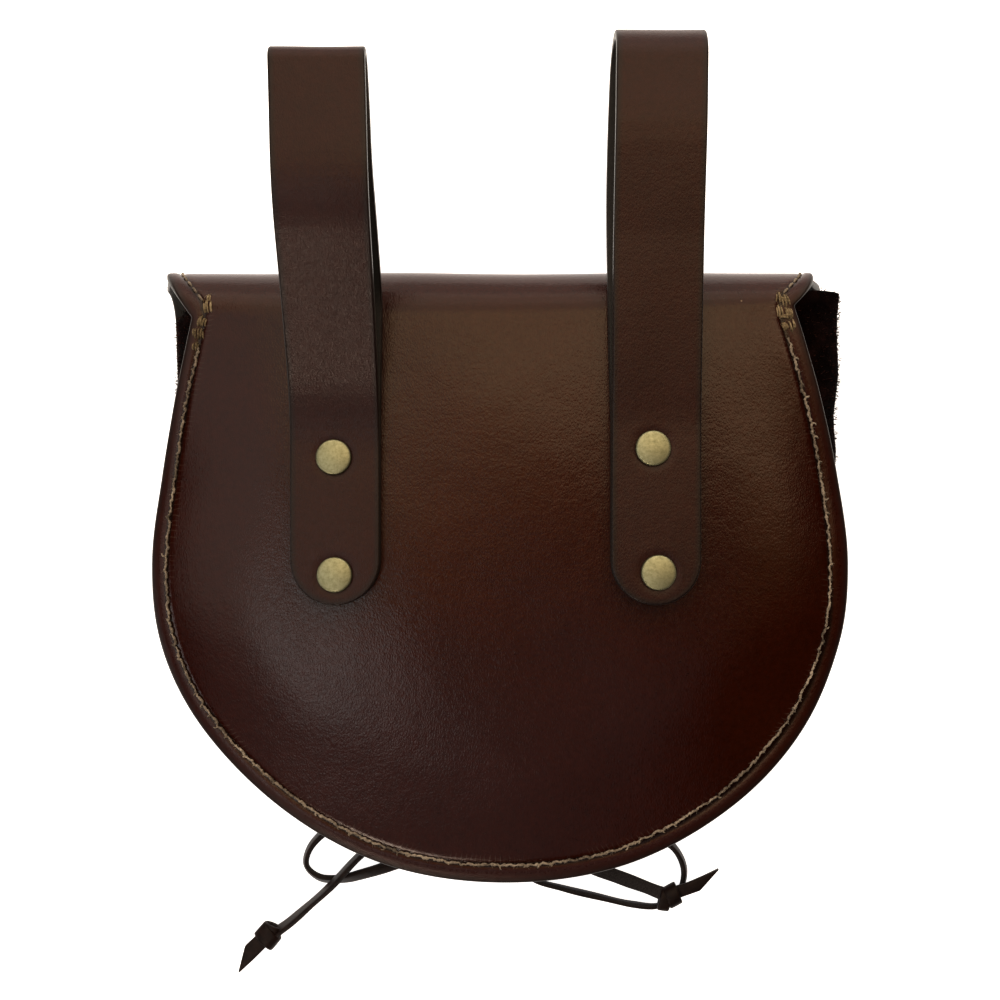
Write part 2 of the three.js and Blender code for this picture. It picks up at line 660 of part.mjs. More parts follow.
// The bow's knot: a low rounded block that the loops and ends leave
function bowKnot() {
  const knot = new THREE.SphereGeometry(1, 16, 8).rotateX(Math.PI / 2);
  const place = knot.attributes.position;
  for (let i = 0; i < place.count; i += 1) {
    const square = (value) => Math.sign(value) * Math.abs(value) ** KNOT_ROUNDNESS;
    place.setXYZ(
      i,
      KNOT.x + square(place.getX(i)) * (KNOT.width / 2),
      KNOT.y + square(place.getY(i)) * (KNOT.length / 2),
      KNOT.z + square(place.getZ(i)) * (KNOT.height / 2),
    );
  }
  return knot;
}

// Two legs through flap and front, joined above the front inside the bag
function laceBridge() {
  const legBase = KNOT.z + KNOT.height / 2 + GAP;
  const legs = [-BRIDGE_SPREAD, BRIDGE_SPREAD].map((side) => (
    upright(BRIDGE_RADIUS, KNOT.x + side, KNOT.y, legBase, BRIDGE_TOP + BRIDGE_RADIUS)
  ));
  const bar = new THREE.CylinderGeometry(BRIDGE_RADIUS, BRIDGE_RADIUS, 2 * BRIDGE_SPREAD, HOLE_SIDES);
  bar.rotateZ(Math.PI / 2).translate(KNOT.x, KNOT.y, BRIDGE_TOP);
  return toGeometry(legs[0].add(legs[1]).add(toSolid(bar)));
}

// An overhand knot near a lace's end, with the lace's pointed tip beyond it
function endKnot() {
  const ball = new THREE.SphereGeometry(1, 12, 8);
  ball.scale(END_KNOT.length / 2, END_KNOT.width / 2, END_KNOT.height / 2);
  const outline = new THREE.Shape(TIP_OUTLINE.map(({ along, aside }) => new THREE.Vector2(along, aside)));
  const tip = new THREE.ExtrudeGeometry(outline, { depth: LACE_THICK, bevelEnabled: false });
  tip.translate(0, 0, -LACE_THICK / 2);
  return toGeometry(toSolid(ball).add(toSolid(tip)));
}

const pouch = new THREE.Group();

function place(name, geometry, material) {
  const mesh = new THREE.Mesh(geometry, material);
  mesh.name = name;
  pouch.add(mesh);
  return mesh;
}

place('back_and_flap', backAndFlap(), BROWN_LEATHER);
place('front_panel', frontPanel(), FRONT_BROWN);
place('gusset', gusset(), BROWN_SUEDE);
place('belt_loop_left', beltLoop(LEFT_LOOP), STRAP_BROWN);
place('belt_loop_right', beltLoop(RIGHT_LOOP), STRAP_BROWN);
for (const { name, x, y } of RIVETS) {
  place(name, rivet(), BRASS).position.set(x, y, 0);
}
place('bow_knot', bowKnot(), LACE_BROWN);
place('lace_bridge', laceBridge(), LACE_BROWN);
for (const [name, route] of Object.entries(LACE_ROUTES)) {
  place(name, laceStrip(route), LACE_BROWN);
}
for (const { name, x, y, z, towards } of END_KNOTS) {
  const knot = place(name, endKnot(), LACE_BROWN);
  knot.position.set(x, y, z);
  knot.rotation.z = radians(towards);
}

export default pouch;
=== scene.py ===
"""Looks of a leather belt pouch that lies on its flap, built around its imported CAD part.

The frame is the CAD part's own: metres, +Z up out of the back, +Y towards the belt loops. The sizes below are
in millimetres, as in the part's source, and each piece is turned into metres when its mesh is made.
"""

import json
import math
from collections import namedtuple

import bmesh
import bpy
import numpy as np
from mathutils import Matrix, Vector

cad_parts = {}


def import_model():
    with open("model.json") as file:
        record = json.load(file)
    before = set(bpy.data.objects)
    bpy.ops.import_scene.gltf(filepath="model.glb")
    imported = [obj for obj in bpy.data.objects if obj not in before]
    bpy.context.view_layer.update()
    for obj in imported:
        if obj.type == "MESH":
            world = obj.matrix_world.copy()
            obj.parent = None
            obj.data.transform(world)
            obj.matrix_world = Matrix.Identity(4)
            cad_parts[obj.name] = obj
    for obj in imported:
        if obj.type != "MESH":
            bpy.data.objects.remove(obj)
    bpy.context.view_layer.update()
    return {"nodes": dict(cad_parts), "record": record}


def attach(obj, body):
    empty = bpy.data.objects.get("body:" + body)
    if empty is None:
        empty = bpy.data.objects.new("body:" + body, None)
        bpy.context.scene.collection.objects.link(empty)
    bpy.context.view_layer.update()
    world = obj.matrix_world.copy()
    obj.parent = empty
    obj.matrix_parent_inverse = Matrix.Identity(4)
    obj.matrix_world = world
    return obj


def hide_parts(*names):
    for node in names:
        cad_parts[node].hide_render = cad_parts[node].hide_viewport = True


MM = 0.001
QUARTER = math.pi / 2
STEPS_PER_SPAN = 20
SEED = 7

# Camera straight above the middle, with the half angle of its square view
CAMERA_HEIGHT = 486
VIEW_HALF_TANGENT = 166.67 / 420
SENSOR = 36

# Thicknesses
BACK_LEATHER = 2.8
FRONT_LEATHER = 2.4
SUEDE = 1.8
STRAP_LEATHER = 3.0

# Half outlines as (half width, y) from the mouth down, with the bottom on the centre line
BAG_OUTLINE = [
    (102.9, 64.6), (105.9, 53.4), (111.3, 32.8), (116.5, 8), (120.1, -21), (117.4, -48.3),
    (105.1, -75.9), (79.1, -103.6), (42.1, -124.3),
]
BAG_BOTTOM = -130.8
NOTCH_HALF, NOTCH_Y = BAG_OUTLINE[0]
FLAP_OUTLINE = [
    (121, 61.6), (121.4, 33), (121.5, 0), (121.5, -24), (118, -50), (105.5, -76), (79, -102.5), (42, -122),
]
FLAP_BOTTOM = -128

# Middle surface of the back, its fold over the mouth, and the flap
BACK_MID_Z = 56.6
BACK_DROP = 7
BACK_MARGIN = 42
MOUTH_EASE, MOUTH_EASE_SPAN = 0.75, (0, 60)
BOTTOM_EASE, BOTTOM_EASE_SPAN = 0.7, (50, 115)
UPPER_Y, UPPER_RADIUS = 63.6, 14.6
LOWER_Y, LOWER_RADIUS = 61.6, 16.6
FLAP_MID_Z = 1.4
STANDING = BACK_MID_Z - UPPER_RADIUS - FLAP_MID_Z - LOWER_RADIUS
FOLD_TOP_Y = UPPER_Y + UPPER_RADIUS
CORNER_HALF = 114.3
STANDING_HALF = 121.2
SHOULDER_HALF = FLAP_OUTLINE[0][0]
CORNER_TRIM = 3
CORNER_TRIM_REACH = 16
EDGE_CURL = 0.8
EDGE_CURL_REACH = 4
FLAP_RISE = 5
FLAP_MARGIN = 38
END_LIFT = 14
END_LIFT_FROM = -60
FOLD_SHIFT = -2.4
FOLD_SKEW = 2
SHIFT_RUN = 70
BOTTOM_SHIFT, BOTTOM_SHIFT_SPAN = 2, (50, 104)
FAN_FROM, FAN_DRAW = -20, 0.55
WAVE_HEIGHT, RIPPLE_HEIGHT = 0.24, 0.12

# Lengths along the unrolled back, fold and flap at which each stretch begins
V_UPPER = UPPER_Y
V_STAND = V_UPPER + UPPER_RADIUS * QUARTER
V_LOWER = V_STAND + STANDING
V_FLAP = V_LOWER + LOWER_RADIUS * QUARTER

# The front between gusset and flap
FRONT_MOUTH_Y = 57
FRONT_MOUTH_HALF = 106.2
FRONT_MID_Z = 4.5
FRONT_RISE = 8
FRONT_MARGIN = 42
FRONT_SPINE_TOP = 22

# The gusset: seam flanges, folds and a bulging wall
GUSSET_TOP = (101.6, 72.6)
FLANGE = 7
FLANGE_RECESS = 0.4
SEAM_GAP = 0.45
GUSSET_FOLD = 1.6
GUSSET_TURNS = (90, 110, 130, 150, 170, 190, 210, 225, 240)
WALL_FULLNESS = 0.8
BULGE = 1
# Flares of its ends at the mouth: reach and power
FLARE_LEFT = (11.4, 2.4)
FLARE_RIGHT = (20.8, 1.1)
LEFT_TUCK = 7
END_DIP = 4
END_RISE = 0.6
GUSSET_LEVEL_FROM = 20
NAP = 0.1
HAIRS = 9000
HAIR_LENGTHS = (0.3, 1.15)
HAIR_RADII = (0.08, 0.2)

# Belt loops: corners of the folded centre line as (y, z, radius)
STRAP_HALF = 15
STRAP_END_Y = -35.3
FAR_STRAND_Z = 59.8
NEAR_STRAND_Z = 63.1
LEFT_LOOP = [
    (30, NEAR_STRAND_Z, 60), (64, 80, 70), (96, 97.5, 60), (139.2, 97.6, 3.1),
    (139.2, 91.4, 3.1), (106, 90, 26), (68.5, FAR_STRAND_Z, 14),
]
RIGHT_LOOP = [
    (26, NEAR_STRAND_Z, 90), (56, 65.8, 90), (88, 68.8, 90), (124, 74, 90), (155.3, 74, 10.1),
    (155.3, 53.6, 10.1), (100, 54, 90), (70, FAR_STRAND_Z, 60),
]
# Each loop: x of its middle, sway at its fold, more sway of its far strand, and its corners
LOOPS = {
    "belt_loop_left": (-55.3, -1.4, 0.6, LEFT_LOOP),
    "belt_loop_right": (52.4, 0.8, -1.2, RIGHT_LOOP),
}
NEAR_SWAY_POWER = 2.4
FAR_SWAY_POWER = 3

# Rivets by x and y, pressed a little into the straps
RIVETS = {
    "rivet_left_upper": (-55.6, 14.3),
    "rivet_left_lower": (-55.3, -25),
    "rivet_right_upper": (51.2, 17.3),
    "rivet_right_lower": (53, -24.3),
}
CAP_RADIUS = 6
POST_RADIUS = 2.1
CAP_BASE_Z = 64.9
SKIRT_SINK = 0.7
CAP_PRESS, CAP_PRESS_RADIUS = 0.3, 6.9
INNER_CAP_TOP_Z = 54.9
LATHE_MIDDLE = 0.05

# Lace routes from the bow's knot outwards, as (x, y, z, turn in degrees from lying flat to standing on edge)
LACE_HALF = 2.5
LACE_THICK = 2
LACE_GAP = 0.3
LACE_STEP = 0.9
FLESH_UP = "lace_end_right"
LACE_ROUTES = {
    "lace_loop_left": [
        (-18.2, -112, 6.2, 0), (-28, -113, 4.4, 0), (-41, -115.5, 2, 10), (-54, -119.5, 0, 45),
        (-66, -126.2, 0, 75), (-73, -133.6, 0, 75), (-74.2, -140, 0, 70), (-69.2, -144.6, 0, 60),
        (-60.5, -145.2, 0, 50), (-52.4, -143.4, 0, 40), (-43, -140.6, 0, 30), (-34, -137, 0, 15),
        (-25.6, -129.6, 0, 0), (-20, -122, 0, 0), (-15.5, -120.6, 1.9, 0),
    ],
    "lace_loop_right": [
        (-5, -120.6, 1.9, 0), (-1, -127, 0, 0), (4.5, -138, 0, 40), (12.5, -145.2, 0, 75),
        (24, -148.8, 0, 85), (38.3, -152.2, 0, 85), (51, -155, 0, 85), (61, -155.4, 0, 75),
        (68.4, -150.4, 0, 70), (70.6, -142, 0, 75), (67, -133.6, 0, 75), (56, -126, 0, 45),
        (40, -119.4, 0, 10), (22, -115.6, 2.4, 0), (8, -113, 5, 0), (-1, -112, 6.2, 0),
    ],
    "lace_end_left": [
        (-18.5, -115, 2.4, 0), (-26.6, -118.6, 4, 15), (-39, -124.8, 6.2, 55), (-52.9, -134.6, 8.2, 75),
        (-63.2, -145.4, 8.6, 75), (-73.4, -155, 6.6, 72), (-80.4, -161.3, 5, 68), (-84.8, -164.7, 4, 64),
        (-87.4, -166.4, 3.8, 60),
    ],
    "lace_end_right": [
        (-1, -116.5, 2.4, 0), (7, -122.5, 2.2, 0), (18, -131.6, 1.8, 0), (34.5, -140.2, 3.2, 0),
        (46, -144, 5.6, 0), (55, -146.8, 7.6, 0), (60.6, -148.8, 8.4, 0), (63.6, -149.7, 8.6, 0),
    ],
}
KNOT = (-9.6, -114, 4.3)
BRIDGE_SPREAD = 5
BRIDGE_RADIUS = 1.7
BRIDGE_TOP = 21
# Wraps of the bow's knot: shift in x and y, lean, reach along and up, width, turns, thickness, start and skew
BOW_WRAPS = [
    (0, 0, 0, 4.9, 2.9, 5, 1.1, 1.6, 1.0, 0.8),
    (-4.6, -0.4, 0.35, 4.5, 2.6, 4.4, 1.05, 1.5, 2.4, -0.6),
    (4.6, -0.3, -0.3, 4.5, 2.6, 4.4, 1.05, 1.5, 0.2, 0.6),
]
BOW_STRANDS_REACH, BOW_STRANDS_HALF, BOW_STRANDS_THICK = 7.6, 2.6, 3.4

# Each wrap of an end knot: turns, thickness, start and skew
END_WRAP = (1.1, 1.4, 2.2, 0.5)
TIP_START = -2.5
TIP_THICK = 1.7
# End knots: place, direction of the tip in degrees, wraps as (shift along, turn in degrees, reach across,
# reach up, width), and the tip's two long edges as (distance from the knot, place across)
END_KNOTS = {
    "left": {
        "centre": (-88.6, -166.4, 3.9), "towards": 231,
        "wraps": [(0.2, 0, 3.7, 2.1, 6.2), (-2.2, 24, 2.9, 1.7, 4.6)],
        "high": [(0, 2.3), (3.1, 2.25), (10.1, 1.5), (17.7, 0.4)],
        "low": [(0, -3.2), (4.6, -3.8), (8.6, -4.4), (17.7, -0.2)],
    },
    "right": {
        "centre": (64.6, -150, 8.6), "towards": 29.4,
        "wraps": [(0.8, 0, 3.2, 1.9, 5.2), (-2.5, -34, 3.3, 1.5, 4.4)],
        "high": [(0, 2.6), (3.6, 2.5), (8, 1.5), (20.8, 0.15)],
        "low": [(0, -2.2), (3.4, -2.3), (10.8, -3.5), (20.8, -0.15)],
    },
}

# Stitching
STITCH = 3.35
TICK_PITCH = 1.95
BACK_STITCH = 4.4
THREAD_RADIUS = 0.47
SEAM_MOUTH_DEPTH = 5.3
SEAM_DEPTH, SEAM_DEPTH_SPAN = 6.4, (-20, 40)
LOWER_RIGHT_EASE, LOWER_RIGHT_SPAN = 1.7, (20, 50)
SEAM_SHIFT, SEAM_SHIFT_HALF = -0.7, 60
FLAP_SEAM_DEPTH = 5.1
NOTCH_SEAM_EXTRA = 0.9
SEAM_GROOVE, FRONT_SEAM_GROOVE = 0.4, 0.35
GROOVE_HALF = 1.1
FULL_EDGE, FULL_EDGE_HALF = 0.14, 1.4
STITCH_LIFT = 0.3
STITCH_SINK = 0.3
STITCH_HOLE_DEPTH = 0.35
NEEDLE_HOLE_DEPTH, NEEDLE_HOLE_RADIUS = 0.22, 0.3
BARB_REACH, BARB_LEAN = (-0.6, 1.1), (-1.1, 0.9)
FIBRES_PER_STITCH = 5
FIBRE_REACH, FIBRE_LEAN = (-1.2, 1.5), (-1.3, 1.3)
FIBRE_RADIUS = 0.11
TACK_SPACING = 0.85
TACK_RADII = (0.3, 0.46)
# Bar tacks as bundles of stitches: x, y, length, width and turn in degrees
BAR_TACKS = {
    "bar_tack_left": [
        (-96.9, 70, 2.2, 1, 0), (-97.4, 67.3, 4.4, 2.4, 4), (-99.3, 62.8, 3.4, 2.6, -20),
        (-100.8, 58.2, 3.8, 3.2, -8), (-101.9, 53.8, 3, 1.6, -14),
    ],
    "bar_tack_right": [
        (97.3, 67.6, 4, 1.5, 4), (97.6, 62.6, 4.4, 1.6, 6), (98.9, 57.6, 3.2, 2, 30),
        (99.6, 66.4, 5, 1.6, 8), (100.6, 61.8, 3.8, 1.8, 8), (101.5, 58, 3.8, 1.8, 14),
        (98.9, 60.8, 3, 1.2, 80), (98.5, 67, 3, 0.9, 60),
    ],
}

# Panels on the ceiling, which mirror in the leather, in metres: x, y, size, power in watts and colour
CEILING = 1.26
CEILING_PANELS = {
    "ceiling_near": (0.36, 0.23, (1.2, 0.28), 2.95, (1.0, 0.77, 0.49)),
    "ceiling_far": (0.15, 0.68, (1.6, 0.58), 5.1, (1.0, 0.82, 0.62)),
    "ceiling_right": (0.66, -0.03, (0.6, 0.22), 0.22, (1.0, 0.66, 0.22)),
    "ceiling_middle": (-0.03, 0.0, (0.3, 0.2), 0.24, (1.0, 0.45, 0.18)),
    "window": (-0.3, -0.25, (0.26, 0.26), 0.66, (0.97, 1.0, 0.98)),
    "ceiling_left": (-0.72, 0.1, (0.95, 0.75), 2.7, (1.0, 0.95, 0.86)),
    "ceiling_low": (-0.42, -0.53, (1.4, 0.75), 1.3, (1.0, 0.96, 0.96)),
}
# Panels beside the pouch, in metres: place, target, size, power in watts and colour
WALL_PANELS = {
    "cove_top": ((0, 1.05, 0.98), (0, 0, 0.06), (2.2, 0.55), 7.4, (1.0, 0.84, 0.68)),
    "wall_top": ((0, 1.25, 0.44), (0, 0, 0.05), (2.2, 0.78), 8.0, (1.0, 0.89, 0.79)),
    "wall_low": ((-0.34, -1.0, 1.05), (-0.06, 0.065, 0.08), (0.36, 0.34), 3.7, (1.0, 0.84, 0.7)),
    "wall_left": ((-1.2, -0.4, 0.4), (-0.05, 0, 0.06), (0.5, 0.4), 1.6, (1.0, 0.98, 0.96)),
}
FLOOR_HALF, FLOOR_LEVEL = 3.0, -0.0003
WORLD_STRENGTH = 0.003
FLOOR_GLOW = 1.0
VIEW_GAMMA = 0.77

# A closed mesh in millimetres, with named values per point
Part = namedtuple("Part", "points faces values")


# Plain number work

def clamp01(values):
    return np.clip(values, 0, 1)


def soft_step(values, start, end):
    share = clamp01((np.asarray(values, float) - start) / (end - start))
    return share * share * (3 - 2 * share)


def unit(vectors):
    return vectors / np.maximum(np.linalg.norm(vectors, axis=-1, keepdims=True), 1e-12)


def smooth_line(points):
    """Centripetal curve through points, whose first three columns are a place, with its ends drawn on."""
    points = np.asarray(points, float)
    points = np.vstack([2 * points[0] - points[1], points, 2 * points[-1] - points[-2]])
    steps = np.linspace(0, 1, STEPS_PER_SPAN, endpoint=False)[:, None]
    spans = []
    for a, b, c, d in zip(points, points[1:], points[2:], points[3:]):
        t1 = np.linalg.norm((b - a)[:3]) ** 0.5
        t2 = t1 + np.linalg.norm((c - b)[:3]) ** 0.5
        t3 = t2 + np.linalg.norm((d - c)[:3]) ** 0.5
        t = t1 + (t2 - t1) * steps
        ab = a + (b - a) * t / t1
        bc = b + (c - b) * (t - t1) / (t2 - t1)
        cd = c + (d - c) * (t - t2) / (t3 - t2)
        abc = ab + (bc - ab) * t / t2
        bcd = bc + (cd - bc) * (t - t1) / (t3 - t1)
        spans.append(abc + (bcd - abc) * (t - t1) / (t2 - t1))
    return np.vstack(spans + [points[-2:-1]])


def lengths_along(line):
    steps = np.linalg.norm(np.diff(line[:, :3], axis=0), axis=1)
    return np.concatenate([[0], np.cumsum(steps)])


def resample(line, count):
    """A line's points again, evenly spaced along it."""
    run = lengths_along(line)
    even = np.linspace(0, run[-1], count)
    return np.column_stack([np.interp(even, run, column) for column in line.T])


def edge_distance(edge, x, y):
    """Distance of places from the nearest stretch of an edge line."""
    start = edge[:-1]
    stretch = edge[1:] - start
    square = np.maximum((stretch ** 2).sum(1), 1e-12)
    places = np.column_stack([np.ravel(x), np.ravel(y)])
    nearest = []
    for chunk in np.array_split(places, max(1, len(places) // 6000)):
        offset = chunk[:, None] - start
        share = clamp01((offset * stretch).sum(2) / square)
        gap = offset - share[..., None] * stretch
        nearest.append(np.sqrt((gap ** 2).sum(2).min(1)))
    return np.concatenate(nearest).reshape(np.shape(x))


def margin_share(distance, margin):
    return (1 - clamp01(distance / margin)) ** 2


def half_curve(outline, bottom):
    """Right half of a whole outline curve, from the bottom on the centre line up to its first point."""
    left = [(-half, y, 0) for half, y in outline]
    right = [(half, y, 0) for half, y in reversed(outline)]
    line = smooth_line(left + [(0, bottom, 0)] + right)[:, :2]
    return line[len(line) // 2:]


def mirrored_edge(right_half):
    left_half = right_half[::-1] * (-1, 1)
    return np.vstack([left_half[:-1], right_half])


# Meshes

def used_points(points, faces, values):
    """The same mesh without points that no face uses."""
    kept, faces_again = np.unique(faces, return_inverse=True)
    values = {name: column[kept] for name, column in values.items()}
    return Part(points[kept], faces_again.reshape(faces.shape), values)


def ring_faces(rings, sides):
    """Quads of a tube of rings with an equal number of sides, by their index."""
    index = np.arange(rings * sides).reshape(rings, sides)
    start, onward = index[:-1], index[1:]
    quads = np.stack([start, np.roll(start, -1, 1), np.roll(onward, -1, 1), onward], axis=-1)
    return quads.reshape(-1, 4)


def ring_turns(sides, start=0):
    return (np.arange(sides) + start) / sides * 2 * math.pi


def capped_tube(points, sides, values):
    """A tube of rings whose two ends are drawn together in their middles."""
    rings = len(points) // sides
    faces = ring_faces(rings, sides)
    first = points[:sides].mean(0)
    last = points[-sides:].mean(0)
    count = len(points)
    ends = []
    for k in range(sides):
        after = (k + 1) % sides
        ends.append((count, after, k, k))
        ends.append((count + 1, count - sides + k, count - sides + after, count - sides + after))
    values = {
        name: np.concatenate([column, [column[:sides].mean(), column[-sides:].mean()]])
        for name, column in values.items()
    }
    return Part(np.vstack([points, first, last]), np.vstack([faces, ends]), values)


def turning_frames(line):
    """Two directions across a line, which turn as little as they can."""
    along = unit(np.gradient(line, axis=0))
    side = np.cross(along[0], (0, 0, 1) if abs(along[0][2]) < 0.9 else (1, 0, 0))
    sides = np.zeros_like(along)
    for i, direction in enumerate(along):
        side = side - direction * side.dot(direction)
        side = side / np.linalg.norm(side)
        sides[i] = side
    return sides, np.cross(sides, along)


def tube(line, radius, sides=6):
    """Round tube along a line, with one radius or one for each point."""
    line = np.asarray(line, float)
    side, over = turning_frames(line)
    radius = np.broadcast_to(np.asarray(radius, float), (len(line),))[:, None, None]
    turns = ring_turns(sides)
    ring = side[:, None] * np.cos(turns)[:, None] + over[:, None] * np.sin(turns)[:, None]
    points = (line[:, None] + ring * radius).reshape(-1, 3)
    return capped_tube(points, sides, {})


def strip(line, side, over, low, high, thick, sides=16):
    """Flat strip along a line, from low to high aside of it, with rounded long edges."""
    turns = ring_turns(sides, 0.5)
    aside = np.sign(np.cos(turns)) * np.abs(np.cos(turns)) ** 0.4
    above = np.sign(np.sin(turns)) * np.abs(np.sin(turns)) ** 0.5
    low, high, thick = (np.broadcast_to(size, (len(line),))[:, None] for size in (low, high, thick))
    reach = (low + high) / 2 + aside * (high - low) / 2
    points = line[:, None] + side[:, None] * reach[..., None] + over[:, None] * (above * thick / 2)[..., None]
    return capped_tube(points.reshape(-1, 3), sides, {"face": np.tile(above, len(line))})


def with_normals(place, x, v):
    """Points of a surface and its directions out, at the unrolled places x, v."""
    near = 0.05
    across = place(x + near, v) - place(x - near, v)
    along = place(x, v + near) - place(x, v - near)
    return place(x, v), unit(np.cross(across, along))


def fan_sheet(half_rim, spine, place, leather, relief, fine, spans, rim_radius=0.9, out=1, seam=None):
    """Closed sheet of leather with rounded edges. Rays run from its rim to its spine on the centre line.

    half_rim is the right half of the rim from the lower to the upper end, spine the v that each of its points
    draws in to, fine the distances from the edge that get rings of their own, and spans the rings after that.
    With seam, the depth of a seam by place, each point knows how far past that seam it lies.
    """
    rim = np.vstack([half_rim, half_rim[-2:0:-1] * (-1, 1)])
    inner_ends = np.concatenate([spine, spine[-2:0:-1]])
    rays = np.column_stack([np.zeros(len(rim)), inner_ends]) - rim
    reach = np.linalg.norm(rays, axis=1)
    fine = np.asarray(fine, float)
    growth = (np.arange(1, spans + 1) / spans) ** 1.25
    deep = fine[-1] + (reach[:, None] - fine[-1]) * growth
    flat = np.hstack([np.broadcast_to(fine, (len(rim), len(fine))), deep])
    arc = np.radians([60, 30, 0])
    bevel = np.broadcast_to(rim_radius * (1 - np.cos(arc)), (len(rim), 3))
    bevel_height = leather / 2 - rim_radius + rim_radius * np.sin(arc)
    coarse = np.hstack([flat[:, :len(fine):2], flat[:, len(fine)::2], flat[:, -1:]])
    distance = np.hstack([flat[:, ::-1], bevel, bevel[:, ::-1], coarse])
    rings = distance.shape[1]
    height = np.concatenate([
        np.full(flat.shape[1], leather / 2), bevel_height, -bevel_height[::-1],
        np.full(coarse.shape[1], -leather / 2),
    ])
    face = np.concatenate([
        np.ones(flat.shape[1]), np.sin(arc), -np.sin(arc)[::-1], -np.ones(coarse.shape[1]),
    ])
    share = distance / reach[:, None]
    x = rim[:, :1] + rays[:, :1] * share
    v = rim[:, 1:] + rays[:, 1:] * share
    closed_rim = np.vstack([rim, rim[:1]])
    depth = edge_distance(np.vstack([rim[::4], rim[:1]]), x.ravel(), v.ravel())
    middle, normal = with_normals(place, x.ravel(), v.ravel())
    outer = np.tile(face, len(rim)) > 0.99
    lift = np.tile(height, len(rim)) + np.where(outer, relief(x.ravel(), v.ravel(), depth), 0)
    points = middle + normal * (out * lift)[:, None]
    run = lengths_along(closed_rim)[:-1]
    values = {"depth": depth, "along": np.repeat(run, rings), "face": np.tile(face, len(rim))}
    if seam is not None:
        values["past_seam"] = depth - seam(x.ravel(), v.ravel())
    index = np.arange(len(points)).reshape(len(rim), rings)
    half = len(rim) // 2
    for end in (0, rings - 1):
        index[half + 1:, end] = index[half - 1:0:-1, end]
    onward = np.roll(index, -1, axis=0)
    faces = np.stack([index[:, :-1], onward[:, :-1], onward[:, 1:], index[:, 1:]], axis=-1)
    return used_points(points, faces.reshape(-1, 4), values)


def grid_normals(middle):
    return unit(np.cross(np.gradient(middle, axis=0), np.gradient(middle, axis=1)))


def grid_sheet(middle, leather, roughness):
    """Closed sheet around a grid of points on its middle surface, with a rough surface."""
    rows, columns = middle.shape[:2]
    normal = grid_normals(middle)
    upper = middle + normal * (leather / 2 + roughness[0])[..., None]
    lower = middle - normal * (leather / 2 + roughness[1])[..., None]
    ring = np.concatenate([upper, lower[:, ::-1]], axis=1)
    points = ring.reshape(-1, 3)
    sides = 2 * columns
    faces = ring_faces(rows, sides)
    ends = []
    for row in (0, rows - 1):
        for c in range(columns - 1):
            base = row * sides
            ends.append((base + c, base + c + 1, base + sides - 2 - c, base + sides - 1 - c))
    return Part(points, np.vstack([faces, ends]), {})


def joined(parts):
    points = np.vstack([part.points for part in parts])
    names = sorted(set().union(*(part.values for part in parts)))
    starts = np.cumsum([0] + [len(part.points) for part in parts])
    faces = np.vstack([part.faces + start for part, start in zip(parts, starts)])
    values = {
        name: np.concatenate([part.values.get(name, np.zeros(len(part.points))) for part in parts])
        for name in names
    }
    return Part(points, faces, values)


def make_piece(name, parts, material, slot, *nodes):
    """A shown piece from closed parts, which stands for CAD nodes and rides with the one body."""
    part = joined(parts)
    mesh = bpy.data.meshes.new(name)
    faces = [tuple(dict.fromkeys(face)) for face in part.faces.tolist()]
    mesh.from_pydata((part.points * MM).tolist(), [], [face for face in faces if len(face) > 2])
    for key, column in part.values.items():
        layer = mesh.attributes.new(key, "FLOAT", "POINT")
        layer.data.foreach_set("value", column.astype(np.float32))
    work = bmesh.new()
    work.from_mesh(mesh)
    bmesh.ops.recalc_face_normals(work, faces=work.faces)
    work.to_mesh(mesh)
    work.free()
    mesh.shade_smooth()
    mesh.materials.append(material)
    piece = bpy.data.objects.new(name, mesh)
    bpy.context.scene.collection.objects.link(piece)
    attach(piece, "root")
    if nodes:
        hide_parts(*nodes)
    return piece


# Camera and laces

def make_camera():
    data = bpy.data.cameras.new("camera")
    data.sensor_width = SENSOR
    data.lens = SENSOR / 2 / VIEW_HALF_TANGENT
    data.clip_start = 0.01
    data.clip_end = 20
    camera = bpy.data.objects.new("camera", data)
    camera.location = (0, 0, CAMERA_HEIGHT * MM)
    bpy.context.scene.collection.objects.link(camera)
    bpy.context.scene.camera = camera


def lace_line(route):
    """A lace strip's middle line, with how far it is turned on its edge at each point."""
    raised = []
    for x, y, z, turn in route:
        angle = math.radians(turn)
        standing = LACE_HALF * math.sin(angle) + LACE_THICK / 2 * math.cos(angle)
        raised.append((x, y, max(z, standing + LACE_GAP), turn))
    line = smooth_line(raised)
    return resample(line, int(lengths_along(line)[-1] / LACE_STEP))


def turned_sides(line, turns):
    """Directions across and out of a strip that is turned about its own line."""
    along = unit(np.gradient(line, axis=0))
    level = unit(np.column_stack([along[:, 1], -along[:, 0], np.zeros(len(along))]))
    upright = np.cross(level, along)
    cosine, sine = np.cos(np.radians(turns))[:, None], np.sin(np.radians(turns))[:, None]
    side = level * cosine - upright * sine
    return side, np.cross(side, along)


def lace_strip(route, flesh_up):
    """A lace strand that is a little uneven in width and thickness, and its middle line."""
    line = lace_line(route)
    place, turns = line[:, :3], line[:, 3]
    side, over = turned_sides(place, turns)
    run = lengths_along(place)
    wide = LACE_HALF * (1 + 0.05 * np.sin(run / 6.1) + 0.03 * np.sin(run / 2.3 + 1))
    part = strip(place, side, over, -wide, wide, LACE_THICK * (1 + 0.08 * np.sin(run / 3.7)))
    if flesh_up:
        part.values["face"] *= -1
    return part, place


def flat_strip(line, side, low, high, thick):
    """A strip that lies level, with one direction across all of it."""
    up = np.broadcast_to((0.0, 0.0, 1.0), line.shape)
    return strip(line, np.broadcast_to(side, line.shape), up, low, high, thick)


